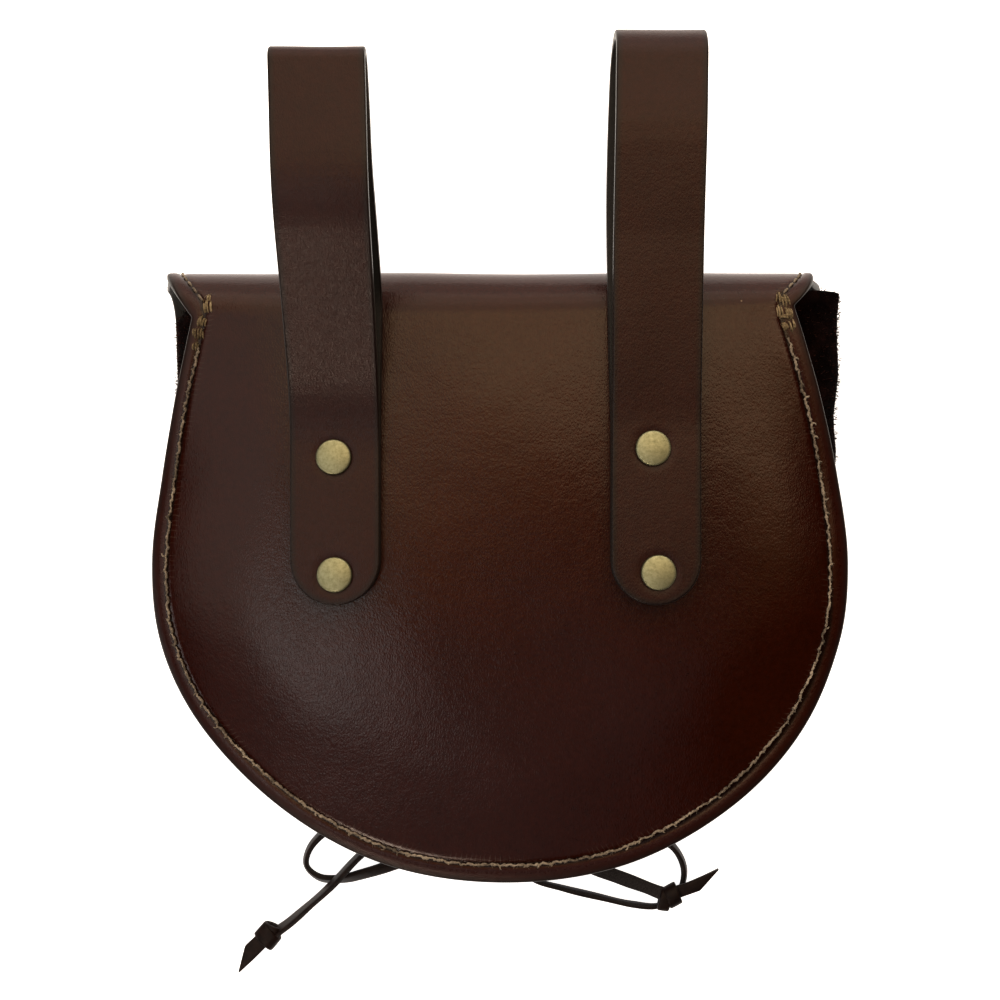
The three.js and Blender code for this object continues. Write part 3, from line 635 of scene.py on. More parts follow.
def band(centre, along, across, over, long_reach, high_reach, wide, turns, thick, start, skew):
    """A strip wound round a place, in the plane of along and over, with its width across."""
    angle = start + np.linspace(0, turns, int(turns * 40) + 2) * 2 * math.pi
    grow = 1 + 0.16 * np.linspace(0, 1, len(angle))
    line = centre + np.outer(np.cos(angle) * long_reach * grow, along)
    line = line + np.outer(np.sin(angle) * high_reach * grow, over) + np.outer(skew * np.cos(angle), across)
    tangent = unit(np.gradient(line, axis=0))
    side = unit(across - tangent * (tangent @ across)[:, None])
    return strip(line, side, np.cross(tangent, side), -wide / 2, wide / 2, thick)


def knot_axes(towards):
    angle = math.radians(towards)
    along = np.array((math.cos(angle), math.sin(angle), 0))
    return along, np.array((-along[1], along[0], 0)), np.array((0, 0, 1.0))


def end_knot(settings):
    """An overhand knot: bands wound round the lace, and the lace's tip, cut to a slanting point."""
    along, across, over = knot_axes(settings["towards"])
    centre = np.asarray(settings["centre"], float)
    parts = []
    for shift, turn, reach, height, wide in settings["wraps"]:
        turned, sideways, _ = knot_axes(settings["towards"] + turn)
        middle = centre + along * shift
        parts.append(band(middle, sideways, turned, over, reach, height, wide, *END_WRAP))
    high, low = (np.array(settings[key], float) for key in ("high", "low"))
    run = np.linspace(TIP_START, high[-1, 0], 40)
    line = centre + np.outer(run, along) + np.outer(0.5 * np.sin(run / 7), over)
    parts.append(flat_strip(line, across, np.interp(run, *low.T), np.interp(run, *high.T), TIP_THICK))
    return parts


def bow_knot():
    """The bow's knot: a wrap round the loops' middles, one slanting on each side, and the strands inside."""
    centre = np.array(KNOT, float)
    x_axis, y_axis, z_axis = np.eye(3)
    parts = []
    for shift_x, shift_y, lean, *settings in BOW_WRAPS:
        along, across = unit(y_axis + lean * x_axis), unit(x_axis - lean * y_axis)
        parts.append(band(centre + (shift_x, shift_y, 0), along, across, z_axis, *settings))
    run = np.linspace(-BOW_STRANDS_REACH, BOW_STRANDS_REACH, 24)
    strands = centre + np.outer(run, (1, 0.1, 0))
    return parts + [flat_strip(strands, y_axis, -BOW_STRANDS_HALF, BOW_STRANDS_HALF, BOW_STRANDS_THICK)]


def lace_bridge():
    """Hidden stretch of lace, up through flap and front and across on the inside."""
    x, y, z = KNOT
    rise = [(BRIDGE_SPREAD, high) for high in (z + 4, z + 10, BRIDGE_TOP - 3)]
    rise.append((BRIDGE_SPREAD - 1.2, BRIDGE_TOP - 0.4))
    left = [(x - aside, y, high) for aside, high in rise]
    right = [(x + aside, y, high) for aside, high in reversed(rise)]
    line = resample(smooth_line(left + [(x, y, BRIDGE_TOP)] + right), 60)
    run = lengths_along(line)
    return [tube(line, BRIDGE_RADIUS * (0.94 + 0.05 * np.sin(run * 1.9)), 12)]


# The body sheet: back, fold and flap in one

BAG_HALF = half_curve(BAG_OUTLINE, BAG_BOTTOM)
FLAP_HALF = half_curve(FLAP_OUTLINE, FLAP_BOTTOM)
BAG_EDGE = resample(mirrored_edge(BAG_HALF), 161)
FLAP_EDGE = resample(mirrored_edge(FLAP_HALF), 161)


def end_lift(y):
    """How far the lower end of flap and front is raised over the bow."""
    return END_LIFT * (np.maximum(0, END_LIFT_FROM - y) / (END_LIFT_FROM - FLAP_BOTTOM)) ** 2


def leaned(points):
    """The cut isn't quite even: the mouth lies a little to the left and the bottom a little to the right."""
    x, y, z = points.T
    lean = clamp01(1 - (NOTCH_Y - y) / SHIFT_RUN) ** 2
    straightened = clamp01((y - NOTCH_Y) / (FOLD_TOP_Y - NOTCH_Y))
    tilt = FOLD_SKEW * (1 - straightened) * np.clip(x / NOTCH_HALF, -1, 1)
    low = soft_step(-y, *BOTTOM_SHIFT_SPAN)
    return np.column_stack([x + lean * FOLD_SHIFT + low * BOTTOM_SHIFT, y + lean * tilt, z])


def fold_profile(v):
    """Places y, z of the middle surface and how far it has turned over, by the length along it."""
    upper = np.clip((v - V_UPPER) / UPPER_RADIUS, 0, QUARTER)
    lower = np.clip((v - V_LOWER) / LOWER_RADIUS, 0, QUARTER)
    standing = np.clip(v - V_STAND, 0, STANDING)
    flap = np.maximum(v - V_FLAP, 0)
    y = np.minimum(v, V_UPPER) + UPPER_RADIUS * np.sin(upper) - LOWER_RADIUS * (1 - np.cos(lower)) - flap
    z = BACK_MID_Z - UPPER_RADIUS * (1 - np.cos(upper)) - standing - LOWER_RADIUS * np.sin(lower)
    return y, z, upper + lower


def fold_half(v):
    """Half width of the fold between the notch and the flap's shoulders."""
    upper_y = UPPER_Y + UPPER_RADIUS * np.sin(np.clip((v - V_UPPER) / UPPER_RADIUS, 0, QUARTER))
    flare = clamp01((upper_y - NOTCH_Y) / (FOLD_TOP_Y - NOTCH_Y))
    standing = clamp01((v - V_STAND) / STANDING)
    lower = clamp01((v - V_LOWER) / (V_FLAP - V_LOWER))
    corner = NOTCH_HALF + (CORNER_HALF - NOTCH_HALF) * flare
    return corner + (STANDING_HALF - CORNER_HALF) * standing + (SHOULDER_HALF - STANDING_HALF) * lower


def mouth_ease(v):
    """Share of the back's margin drop: the fold holds the mouth's corners up, and the bottom is flatter."""
    return 1 - MOUTH_EASE * soft_step(v, *MOUTH_EASE_SPAN) - BOTTOM_EASE * soft_step(-v, *BOTTOM_EASE_SPAN)


def fold_drop(v):
    """Margin drop on the fold: what is left of the back's, gone at the fold's top, and then the flap's."""
    upper = BACK_DROP * (1 - MOUTH_EASE) * (1 - soft_step(v, V_UPPER - 6, V_STAND))
    return upper + FLAP_RISE * soft_step(v, V_LOWER, V_FLAP + 9)


def fold_curl(x, v):
    """How far the fold's cut sides curl up, where the leather is bent most."""
    bend = np.sin(math.pi * clamp01((v - V_UPPER - 1) / (V_STAND - V_UPPER - 1))) ** 2
    return EDGE_CURL * bend * np.exp(-np.maximum(fold_half(v) - np.abs(x), 0) / EDGE_CURL_REACH)


def trimmed(x, v):
    """The right corner of the fold is cut rounder than the left."""
    bend = np.sin(math.pi * clamp01((v - V_UPPER) / (V_LOWER - V_UPPER))) ** 2
    return x - CORNER_TRIM * bend * clamp01((x - CORNER_HALF) / CORNER_TRIM_REACH + 1) ** 2


def back_drop(x, v):
    return BACK_DROP * mouth_ease(v) * margin_share(edge_distance(BAG_EDGE, x, v), BACK_MARGIN)


def body_drop(x, v):
    """How far the sheet falls in from its flat middle towards its margins."""
    y, _, _ = fold_profile(v)
    drop = fold_drop(v) * margin_share(fold_half(v) - np.abs(x), BACK_MARGIN)
    back = v < V_UPPER + 3
    drop_back = back_drop(x[back], v[back])
    onto_fold = soft_step(v[back], V_UPPER - 9, V_UPPER + 3)
    drop[back] = drop_back * (1 - onto_fold) + drop[back] * onto_fold
    flap = v > V_FLAP - 3
    rise = FLAP_RISE * margin_share(edge_distance(FLAP_EDGE, x[flap], y[flap]), FLAP_MARGIN)
    onto_flap = soft_step(v[flap], V_FLAP - 3, V_FLAP + 9)
    drop[flap] = (rise + end_lift(y[flap])) * onto_flap + drop[flap] * (1 - onto_flap)
    return drop - fold_curl(x, v)


def body_place(x, v):
    """Middle surface of the back, fold and flap at unrolled places."""
    y, z, turn = fold_profile(v)
    out = np.column_stack([np.zeros(len(v)), np.sin(turn), np.cos(turn)])
    return leaned(np.column_stack([trimmed(x, v), y, z])) - out * body_drop(x, v)[:, None]


def body_half_rim():
    """Right half of the unrolled rim, from the back's bottom to the flap's lower end."""
    over_fold = np.linspace(NOTCH_Y, V_FLAP, 90)
    fold = np.column_stack([fold_half(over_fold), over_fold])
    flap = FLAP_HALF[::-1]
    flap = np.column_stack([flap[:, 0], V_FLAP + LOWER_Y - flap[:, 1]])
    return np.vstack([BAG_HALF[:-1], fold[:-1], flap])


BODY_RIM = body_half_rim()
BODY_EDGE = resample(mirrored_edge(BODY_RIM), 420)


def flap_seam_depth(v):
    return FLAP_SEAM_DEPTH + NOTCH_SEAM_EXTRA * (1 - soft_step(v, NOTCH_Y, V_STAND))


def seam_depth(v):
    """Distance of the stitching from the edge: the back's seam, then the flap's."""
    back = SEAM_DEPTH + (SEAM_MOUTH_DEPTH - SEAM_DEPTH) * soft_step(v, *SEAM_DEPTH_SPAN)
    return back + (flap_seam_depth(v) - SEAM_MOUTH_DEPTH) * soft_step(v, NOTCH_Y, NOTCH_Y + 4)


def seam_at(x, v):
    """Depth of the seam by place: further in on the upper right and nearer the edge on the lower right."""
    aside = np.clip(x / SEAM_SHIFT_HALF, -1, 1)
    nearer = LOWER_RIGHT_EASE * clamp01(aside) * soft_step(-v, *LOWER_RIGHT_SPAN)
    return seam_depth(v) - (SEAM_SHIFT * aside + nearer) * (v < NOTCH_Y)


def body_relief(x, v, depth):
    """Small heights on the grain side: the pressed seam, a full edge outside it and slow waves."""
    seam = seam_at(x, v)
    groove = -SEAM_GROOVE * np.exp(-((depth - seam) / GROOVE_HALF) ** 2)
    full_edge = FULL_EDGE * np.exp(-((depth - 0.5 * seam) / FULL_EDGE_HALF) ** 2)
    waves = WAVE_HEIGHT * np.sin(x / 19 + 0.7) * np.sin(v / 24 + 0.4)
    waves = waves + RIPPLE_HEIGHT * np.sin((x + 0.6 * v) / 12.5)
    return groove + full_edge + waves * clamp01((depth - 6) / 22)


def drawn_in(v, low, high):
    """Places on the centre line, drawn closer past low and high so that rays fan out round a sheet's ends."""
    return v - FAN_DRAW * (np.minimum(v - low, 0) + np.maximum(v - high, 0))


def body_sheet():
    half = resample(BODY_RIM, 560)
    spine = drawn_in(half[:, 1], FAN_FROM, V_FLAP + LOWER_Y - FAN_FROM)
    fine = np.concatenate([[0.9, 1.5, 2.2], np.arange(2.9, 12.1, 0.62), [13, 14.2, 15.8, 18]])
    return [fan_sheet(half, spine, body_place, BACK_LEATHER, body_relief, fine, 24, seam=seam_at)]


def on_body(x, v, lift):
    """Places on the grain side of the body sheet, raised by lift."""
    x, v = np.asarray(x, float), np.asarray(v, float)
    middle, normal = with_normals(body_place, x, v)
    depth = edge_distance(BODY_EDGE, x, v)
    height = BACK_LEATHER / 2 + body_relief(x, v, depth) + lift
    return middle + normal * np.reshape(height, (-1, 1))


# Front and gusset

def front_level(x, y):
    rise = FRONT_RISE * margin_share(edge_distance(BAG_EDGE, x, y), FRONT_MARGIN)
    return np.column_stack([x, y, FRONT_MID_Z + rise + end_lift(y)])


def front_place(x, y):
    return leaned(front_level(x, y))


def front_relief(x, y, depth):
    past = edge_distance(BAG_EDGE, x, y) - SEAM_MOUTH_DEPTH
    return -FRONT_SEAM_GROOVE * np.exp(-(past / GROOVE_HALF) ** 2) * clamp01(depth / 3)


def front_sheet():
    below = BAG_HALF[BAG_HALF[:, 1] < FRONT_MOUTH_Y - 1]
    corner = np.array([(FRONT_MOUTH_HALF, FRONT_MOUTH_Y)])
    mouth = np.column_stack([np.linspace(FRONT_MOUTH_HALF, 0, 40), np.full(40, FRONT_MOUTH_Y)])[1:]
    half = resample(np.vstack([below, corner, mouth]), 300)
    spine = np.minimum(drawn_in(half[:, 1], FAN_FROM, math.inf), FRONT_SPINE_TOP)
    fine = np.concatenate([[0.9, 1.6], np.arange(2.4, 8.1, 0.8), [9.5, 12]])
    return [fan_sheet(half, spine, front_place, FRONT_LEATHER, front_relief, fine, 12, out=-1)]


def flange_heights(panel_place, place, out, panel_leather, side):
    """Heights of a seam flange's inner and outer ends against a panel's middle surface."""
    heights = []
    for reach in (FLANGE, FLANGE_RECESS):
        spot = place - out * reach
        heights.append(panel_place(spot[:, 0], np.minimum(spot[:, 1], UPPER_Y))[:, 2])
    inner, outer = heights
    steep = np.hypot(1, (inner - outer) / (FLANGE - FLANGE_RECESS))
    away = side * ((panel_leather + SUEDE) / 2 + SEAM_GAP) * steep
    return inner + away, outer + away


def back_level(x, y):
    return np.column_stack([x, y, BACK_MID_Z - back_drop(x, y)])


def gusset_path():
    """Places along the gusset's path, with the directions out of the bag there."""
    outline = [GUSSET_TOP] + BAG_OUTLINE
    line = resample(mirrored_edge(half_curve(outline, BAG_BOTTOM)), 430)
    along = unit(np.gradient(line, axis=0))
    level = clamp01((line[:, 1] - GUSSET_LEVEL_FROM) / (NOTCH_Y - GUSSET_LEVEL_FROM))
    out = unit(np.column_stack([along[:, 1], -along[:, 0] * (1 - level)]))
    return line, out


def gusset_sections(place, out):
    """Cross-sections as outward distances and heights, one row for each place on the path."""
    back_inner, back_outer = flange_heights(back_level, place, out, BACK_LEATHER, -1)
    front_inner, front_outer = flange_heights(front_level, place, out, FRONT_LEATHER, 1)
    dip = END_DIP * clamp01((place[:, 1] - UPPER_Y) / (GUSSET_TOP[1] - UPPER_Y)) ** 2
    reach = np.where(place[:, 0] < 0, FLARE_LEFT[0], FLARE_RIGHT[0])
    power = np.where(place[:, 0] < 0, FLARE_LEFT[1], FLARE_RIGHT[1])
    bulge = BULGE + reach * clamp01(place[:, 1] / GUSSET_TOP[1]) ** power
    bulge = bulge - LEFT_TUCK * (place[:, 0] < 0) * soft_step(place[:, 1], 64, GUSSET_TOP[1])
    turns = np.radians(GUSSET_TURNS)
    fold_out = -FLANGE + GUSSET_FOLD * np.cos(turns)
    fold_rise = GUSSET_FOLD * np.sin(turns)
    rows = len(place)
    back_fold_z = (back_inner - dip - GUSSET_FOLD)[:, None] + fold_rise
    front_fold_z = ((front_inner + dip + GUSSET_FOLD)[:, None] - fold_rise)[:, ::-1]
    wall = np.linspace(0, 1, 30)[1:-1]
    full = np.sin(math.pi * wall) ** WALL_FULLNESS
    wall_out = fold_out[-1] + (bulge[:, None] - fold_out[-1]) * full
    wall_z = back_fold_z[:, -1:] + (front_fold_z[:, :1] - back_fold_z[:, -1:]) * wall
    flange = np.linspace(0, 1, 5)[:-1]
    flange_out = -FLANGE_RECESS + (fold_out[0] + FLANGE_RECESS) * flange
    back_z = (back_outer - dip)[:, None] + (back_fold_z[:, :1] - (back_outer - dip)[:, None]) * flange
    front_z = (front_outer + dip)[:, None] + (front_fold_z[:, -1:] - (front_outer + dip)[:, None]) * flange
    spread = [flange_out, fold_out, wall_out, fold_out[::-1], flange_out[::-1]]
    outward = np.hstack([np.broadcast_to(part, (rows, part.shape[-1])) for part in spread])
    return outward, np.hstack([back_z, back_fold_z, wall_z, front_fold_z, front_z[:, ::-1]])


def gusset_sheet():
    rng = np.random.default_rng(SEED)
    place, out = gusset_path()
    outward, heights = gusset_sections(place, out)
    run = lengths_along(place)[:, None]
    wall = clamp01((outward + FLANGE) / 4)
    outward = outward + wall * (0.5 * np.sin(run / 9 + heights / 7) + 0.35 * np.sin(run / 4.3 - heights / 5))
    x = place[:, :1] + out[:, :1] * outward
    y = place[:, 1:] + out[:, 1:] * outward
    y = y + END_RISE * clamp01(outward / 20) * clamp01((place[:, 1:] - UPPER_Y) / (GUSSET_TOP[1] - UPPER_Y))
    flat = leaned(np.column_stack([x.ravel(), y.ravel(), heights.ravel()]))
    middle = flat.reshape(x.shape + (3,))
    nap = rng.normal(0, NAP, (2,) + x.shape) * wall
    return [grid_sheet(middle, SUEDE, nap), suede_hairs(middle, wall, rng)]


def suede_hairs(middle, wall, rng):
    """Loose fibres of the nap, as thin spikes on the wall's outer side, most of them near the mouth."""
    rows, columns = middle.shape[:2]
    near_mouth = soft_step(middle[:, 0, 1], 0, 50)
    chance = (0.25 + near_mouth)[:, None] * (wall > 0.9)
    picked = rng.choice(rows * columns, HAIRS, p=(chance / chance.sum()).ravel())
    normal = -grid_normals(middle).reshape(-1, 3)[picked]
    slack = unit(rng.normal(size=(HAIRS, 3)))
    across = unit(np.cross(normal, slack))
    root = middle.reshape(-1, 3)[picked] + rng.normal(0, 0.5, (HAIRS, 3)) + normal * (SUEDE / 2 - 0.15)
    length = rng.uniform(*HAIR_LENGTHS, (HAIRS, 1))
    tip = root + (normal + 0.9 * slack) * length
    thick = rng.uniform(*HAIR_RADII, (HAIRS, 1))
    second = np.cross(normal, across)
    foot = [root + way * thick for way in (across, second, -(across + second))]
    points = np.stack(foot + [tip], axis=1)
    first = 4 * np.arange(HAIRS)[:, None, None]
    faces = first + np.array([(0, 1, 2, 2), (0, 3, 1, 1), (1, 3, 2, 2), (2, 3, 0, 0)])
    paleness = np.repeat(rng.random(HAIRS) ** 2, 4)
    return Part(points.reshape(-1, 3), faces.reshape(-1, 4), {"paleness": paleness})


# Belt loops

def filleted_line(corners):
    """A strap's centre line in the upright plane: straight runs joined by arcs."""
    start = (STRAP_END_Y, corners[0][1])
    end = (STRAP_END_Y, corners[-1][1])
    knots = np.array([start] + [corner[:2] for corner in corners] + [end], float)
    line = [knots[0]]
    for i, (_, _, radius) in enumerate(corners):
        before = unit(knots[i] - knots[i + 1])
        after = unit(knots[i + 2] - knots[i + 1])
        bend = math.pi - math.acos(np.clip(before.dot(after), -1, 1))
        centre = knots[i + 1] + unit(before + after) * radius / math.cos(bend / 2)
        first = knots[i + 1] + before * radius * math.tan(bend / 2) - centre
        sense = -np.sign(before[0] * after[1] - before[1] * after[0])
        for turn in np.linspace(0, sense * bend, max(3, int(math.degrees(bend) / 3))):
            cosine, sine = math.cos(turn), math.sin(turn)
            line.append(centre + (first[0] * cosine - first[1] * sine, first[0] * sine + first[1] * cosine))
    return np.vstack(line + [knots[-1]])


def strap_sheet(name):
    x_middle, sway, far_sway, corners = LOOPS[name]
    line = filleted_line(corners)
    run = lengths_along(line)
    top = max(corner[0] for corner in corners)
    fold = run[np.argmax(line[:, 0])]

    def place(aside, along):
        y = np.interp(along, run, line[:, 0])
        z = np.interp(along, run, line[:, 1])
        share = clamp01((y - corners[0][0]) / (top - corners[0][0]))
        power = np.where(along < fold, NEAR_SWAY_POWER, FAR_SWAY_POWER)
        far_shift = far_sway * 4 * share * (1 - share) * (along > fold)
        return np.column_stack([x_middle + sway * share ** power + far_shift + aside, y, z])

    def relief(aside, along, _):
        height = 0.07 * np.sin(aside / 5 + 1) * np.sin(along / 17)
        for rivet_x, rivet_y in RIVETS.values():
            if abs(rivet_x - x_middle) < STRAP_HALF:
                gap = np.hypot(aside - rivet_x + x_middle, along - rivet_y + STRAP_END_Y)
                height = height - CAP_PRESS * np.exp(-(gap / CAP_PRESS_RADIUS) ** 8)
        return height

    turns = np.radians(np.linspace(0, 90, 24))
    tip = np.column_stack([STRAP_HALF * np.sin(turns), STRAP_HALF * (1 - np.cos(turns))])
    far_tip = np.column_stack([tip[:, 0], run[-1] - tip[:, 1]])[::-1]
    half = resample(np.vstack([tip, far_tip]), 470)
    spine = np.clip(half[:, 1], STRAP_HALF, run[-1] - STRAP_HALF)
    fine = np.concatenate([[0.55, 0.9, 1.4, 2.1], np.arange(2.8, 9, 0.9)])
    return [fan_sheet(half, spine, place, STRAP_LEATHER, relief, fine, 7, rim_radius=0.55)]


# Rivets

def lathe(profile, x, y, sides=48):
    profile = np.asarray(profile, float)
    turns = ring_turns(sides)
    ring = np.stack([np.cos(turns), np.sin(turns), np.zeros(sides)], axis=1)
    points = profile[:, :1, None] * ring + profile[:, 1:, None] * np.array((0, 0, 1))
    points = points.reshape(-1, 3) + (x, y, 0)
    return capped_tube(points, sides, {"radius": np.repeat(profile[:, 0], sides)})


def rivet_parts(x, y):
    """Domed outer cap whose skirt is pressed into the strap, post, and flat inner cap."""
    base, top, rim = CAP_BASE_Z, INNER_CAP_TOP_Z, CAP_RADIUS
    dome = [(r, base + 1.15 + 0.6 * (1 - (r / 5.3) ** 2)) for r in np.linspace(5.2, LATHE_MIDDLE, 14)]
    skirt = [(r, base - SKIRT_SINK) for r in (LATHE_MIDDLE, 4.5, rim - 0.15)] + [(rim, base - 0.4)]
    side = [(rim, base + 0.3), (rim - 0.04, base + 0.6), (rim - 0.18, base + 0.86), (rim - 0.42, base + 1.04)]
    inner = [(LATHE_MIDDLE, top - 1.2), (rim - 0.8, top - 1.15), (rim - 0.2, top - 0.9), (rim, top - 0.5)]
    inner += [(rim, top), (LATHE_MIDDLE, top)]
    post = [(POST_RADIUS, top - 0.2), (POST_RADIUS, base - 0.3)]
    return [lathe(skirt + side + dome, x, y), lathe(inner, x, y), lathe(post, x, y, 20)]


# Stitching

def seam_line(half, depth_at, spacing):
    """A line inside a half outline at a depth from it, right side from low to high, evenly spaced."""
    along = unit(np.gradient(half, axis=0))
    inward = np.column_stack([-along[:, 1], along[:, 0]])
    line = half + inward * depth_at(half[:, 1])[:, None]
    return resample(line, max(2, int(lengths_along(line)[-1] / spacing)))


def laid_tubes(place_on, ways):
    """Tubes on a surface, each from its unrolled places, heights above it, radii and sides."""
    spots = np.vstack([way for way, _, _, _ in ways])
    lifts = np.concatenate([lift for _, lift, _, _ in ways])
    places = place_on(spots[:, 0], spots[:, 1], lifts)
    ends = np.cumsum([len(way) for way, _, _, _ in ways])
    return [tube(line, way[2], way[3]) for line, way in zip(np.split(places, ends[:-1]), ways)]


def uneven(rng, run, pitch, spread):
    """Random values along a run, joined smoothly."""
    marks = np.arange(0, run[-1] + 2 * pitch, pitch)
    return np.interp(run, marks, rng.normal(0, spread, len(marks)))


def back_seam_line():
    half = BAG_HALF[BAG_HALF[:, 1] < NOTCH_Y - 9]
    fine = seam_line(half, seam_depth, 0.4)
    line = resample(mirrored_edge(fine), int(2 * lengths_along(fine)[-1] / 0.3))
    line = line + np.outer(SEAM_SHIFT * clamp01(np.abs(line[:, 0]) / SEAM_SHIFT_HALF), (1, 0))
    outward = unit(np.gradient(line, axis=0))[:, ::-1] * (1, -1)
    return line, outward


def stitch_ends(run):
    return np.flatnonzero(np.diff(np.floor(run / BACK_STITCH)))


def lengthwise(outward):
    return np.array((-outward[1], outward[0]))


def wavy_seam(rng):
    """The back's seam: one pulled thread that kinks out and leaves a barb towards the edge at each stitch."""
    line, outward = back_seam_line()
    run = lengths_along(line)
    share = run / BACK_STITCH % 1
    kink = np.abs(2 * share - 1) ** 4
    wander = 0.5 * kink + uneven(rng, run, 1.7, 0.16) + uneven(rng, run, 0.6, 0.13)
    line = line + outward * wander[:, None]
    lift = 0.45 - 0.3 * kink + uneven(rng, run, 0.9, 0.1)
    radius = THREAD_RADIUS * np.clip(0.95 - 0.2 * kink + uneven(rng, run, 0.5, 0.26), 0.45, 1.6)
    ways = [(line, lift, radius, 6)]
    for i in stitch_ends(run):
        ways.append(barb(line[i], outward[i], rng))
        for _ in range(FIBRES_PER_STITCH):
            ways.append(fibre(line[i + rng.integers(-6, 7)], outward[i], rng))
    return laid_tubes(on_body, ways)


def seam_hole_shadows(rng):
    """Painted shadow of the needle holes: near-black slivers sunk into the grain on the inner side of each
    kink.
    """
    line, outward = back_seam_line()
    ways = []
    for i in stitch_ends(lengths_along(line)):
        middle = line[i] - outward[i] * rng.uniform(0.1, 0.6)
        reach = rng.uniform(0.3, 0.8)
        slant = lengthwise(outward[i]) + outward[i] * rng.uniform(-0.5, 0.5)
        way = middle + np.outer(np.linspace(-reach, reach, 5), slant)
        radius = NEEDLE_HOLE_RADIUS * np.array((0.3, 0.9, 1, 0.9, 0.3))
        ways.append((way, np.full(5, -NEEDLE_HOLE_DEPTH), radius, 6))
    return laid_tubes(on_body, ways)


def barb(place, outward, rng):
    """A pulled stitch end that points out over the edge margin and curls along it."""
    reach = rng.uniform(*BARB_REACH)
    lean = rng.uniform(*BARB_LEAN)
    share = np.linspace(0, 1, 7)
    way = place + np.outer(np.sin(share * QUARTER) * reach, outward)
    way = way + np.outer(share ** 2 * lean, lengthwise(outward))
    lift = 0.05 + 0.4 * np.sin(share * 2.6)
    return way, lift, THREAD_RADIUS * rng.uniform(0.6, 1.15) * (1 - 0.5 * share), 5


def fibre(place, outward, rng):
    """A fine loose fibre beside a stitch."""
    reach = rng.uniform(*FIBRE_REACH)
    lean = rng.uniform(*FIBRE_LEAN)
    share = np.linspace(0, 1, 5)
    way = place + np.outer(share * reach, outward) + np.outer(share ** 2 * lean, lengthwise(outward))
    return way, 0.2 + 0.4 * share, FIBRE_RADIUS * (1.1 - share), 3


def dash(start, end, lift_to, radius=THREAD_RADIUS):
    """One stitch from hole to hole, rounded over the leather between them."""
    share = np.linspace(0, 1, 7)
    way = start + np.outer(share, end - start)
    lift = -STITCH_HOLE_DEPTH + (lift_to + STITCH_HOLE_DEPTH) * np.sin(share * math.pi) ** 0.6
    fullness = 0.75 + 0.25 * np.sin(share * math.pi)
    return way, lift, radius * fullness, 6


def dashes(line, place_on):
    ways = []
    for start, end in zip(line, line[1:]):
        gap = (end - start) * 0.1
        ways.append(dash(start + gap, end - gap, STITCH_LIFT))
    return laid_tubes(place_on, ways)


def flap_seam():
    """Neat stitches round the fold's sides and the flap."""
    rim = BODY_RIM[BODY_RIM[:, 1] > NOTCH_Y + 0.4]
    line = seam_line(rim, flap_seam_depth, STITCH)
    return dashes(np.vstack([line, line[-2::-1] * (-1, 1)]), on_body)


def on_front(x, y, lift):
    middle, normal = with_normals(front_place, np.asarray(x, float), np.asarray(y, float))
    return middle - normal * np.reshape(FRONT_LEATHER / 2 - STITCH_SINK + lift, (-1, 1))


def front_seam():
    """Neat stitches of the seam between front and gusset."""
    rim = BAG_HALF[BAG_HALF[:, 1] < FRONT_MOUTH_Y - 4]
    line = seam_line(rim, lambda v: np.full(len(v), SEAM_MOUTH_DEPTH), STITCH)
    return dashes(mirrored_edge(line), on_front)


def bar_tack(bundles, rng):
    """Bundles of stitches sewn over one another where the back's seam ends."""
    ways = []
    for x, y, length, wide, turn in bundles:
        along = np.array((-math.sin(math.radians(turn)), math.cos(math.radians(turn))))
        across = np.array((along[1], -along[0]))
        for aside in np.linspace(-0.5, 0.5, 2 + int(wide / TACK_SPACING)):
            middle = np.array((x, y)) + across * aside * wide
            shifts = rng.normal(0, 0.24, (2, 2))
            reach = along * length / 2 * (1 - 0.8 * aside ** 2)
            start, end = (middle - reach, middle + reach) + shifts
            lift = rng.uniform(0.2, 0.5) + 0.5 * (1 - 2 * abs(aside))
            ways.append(dash(start, end, lift, rng.uniform(*TACK_RADII)))
            ways.append(fibre(middle + reach, across, rng))
    return laid_tubes(on_body, ways)


# Materials

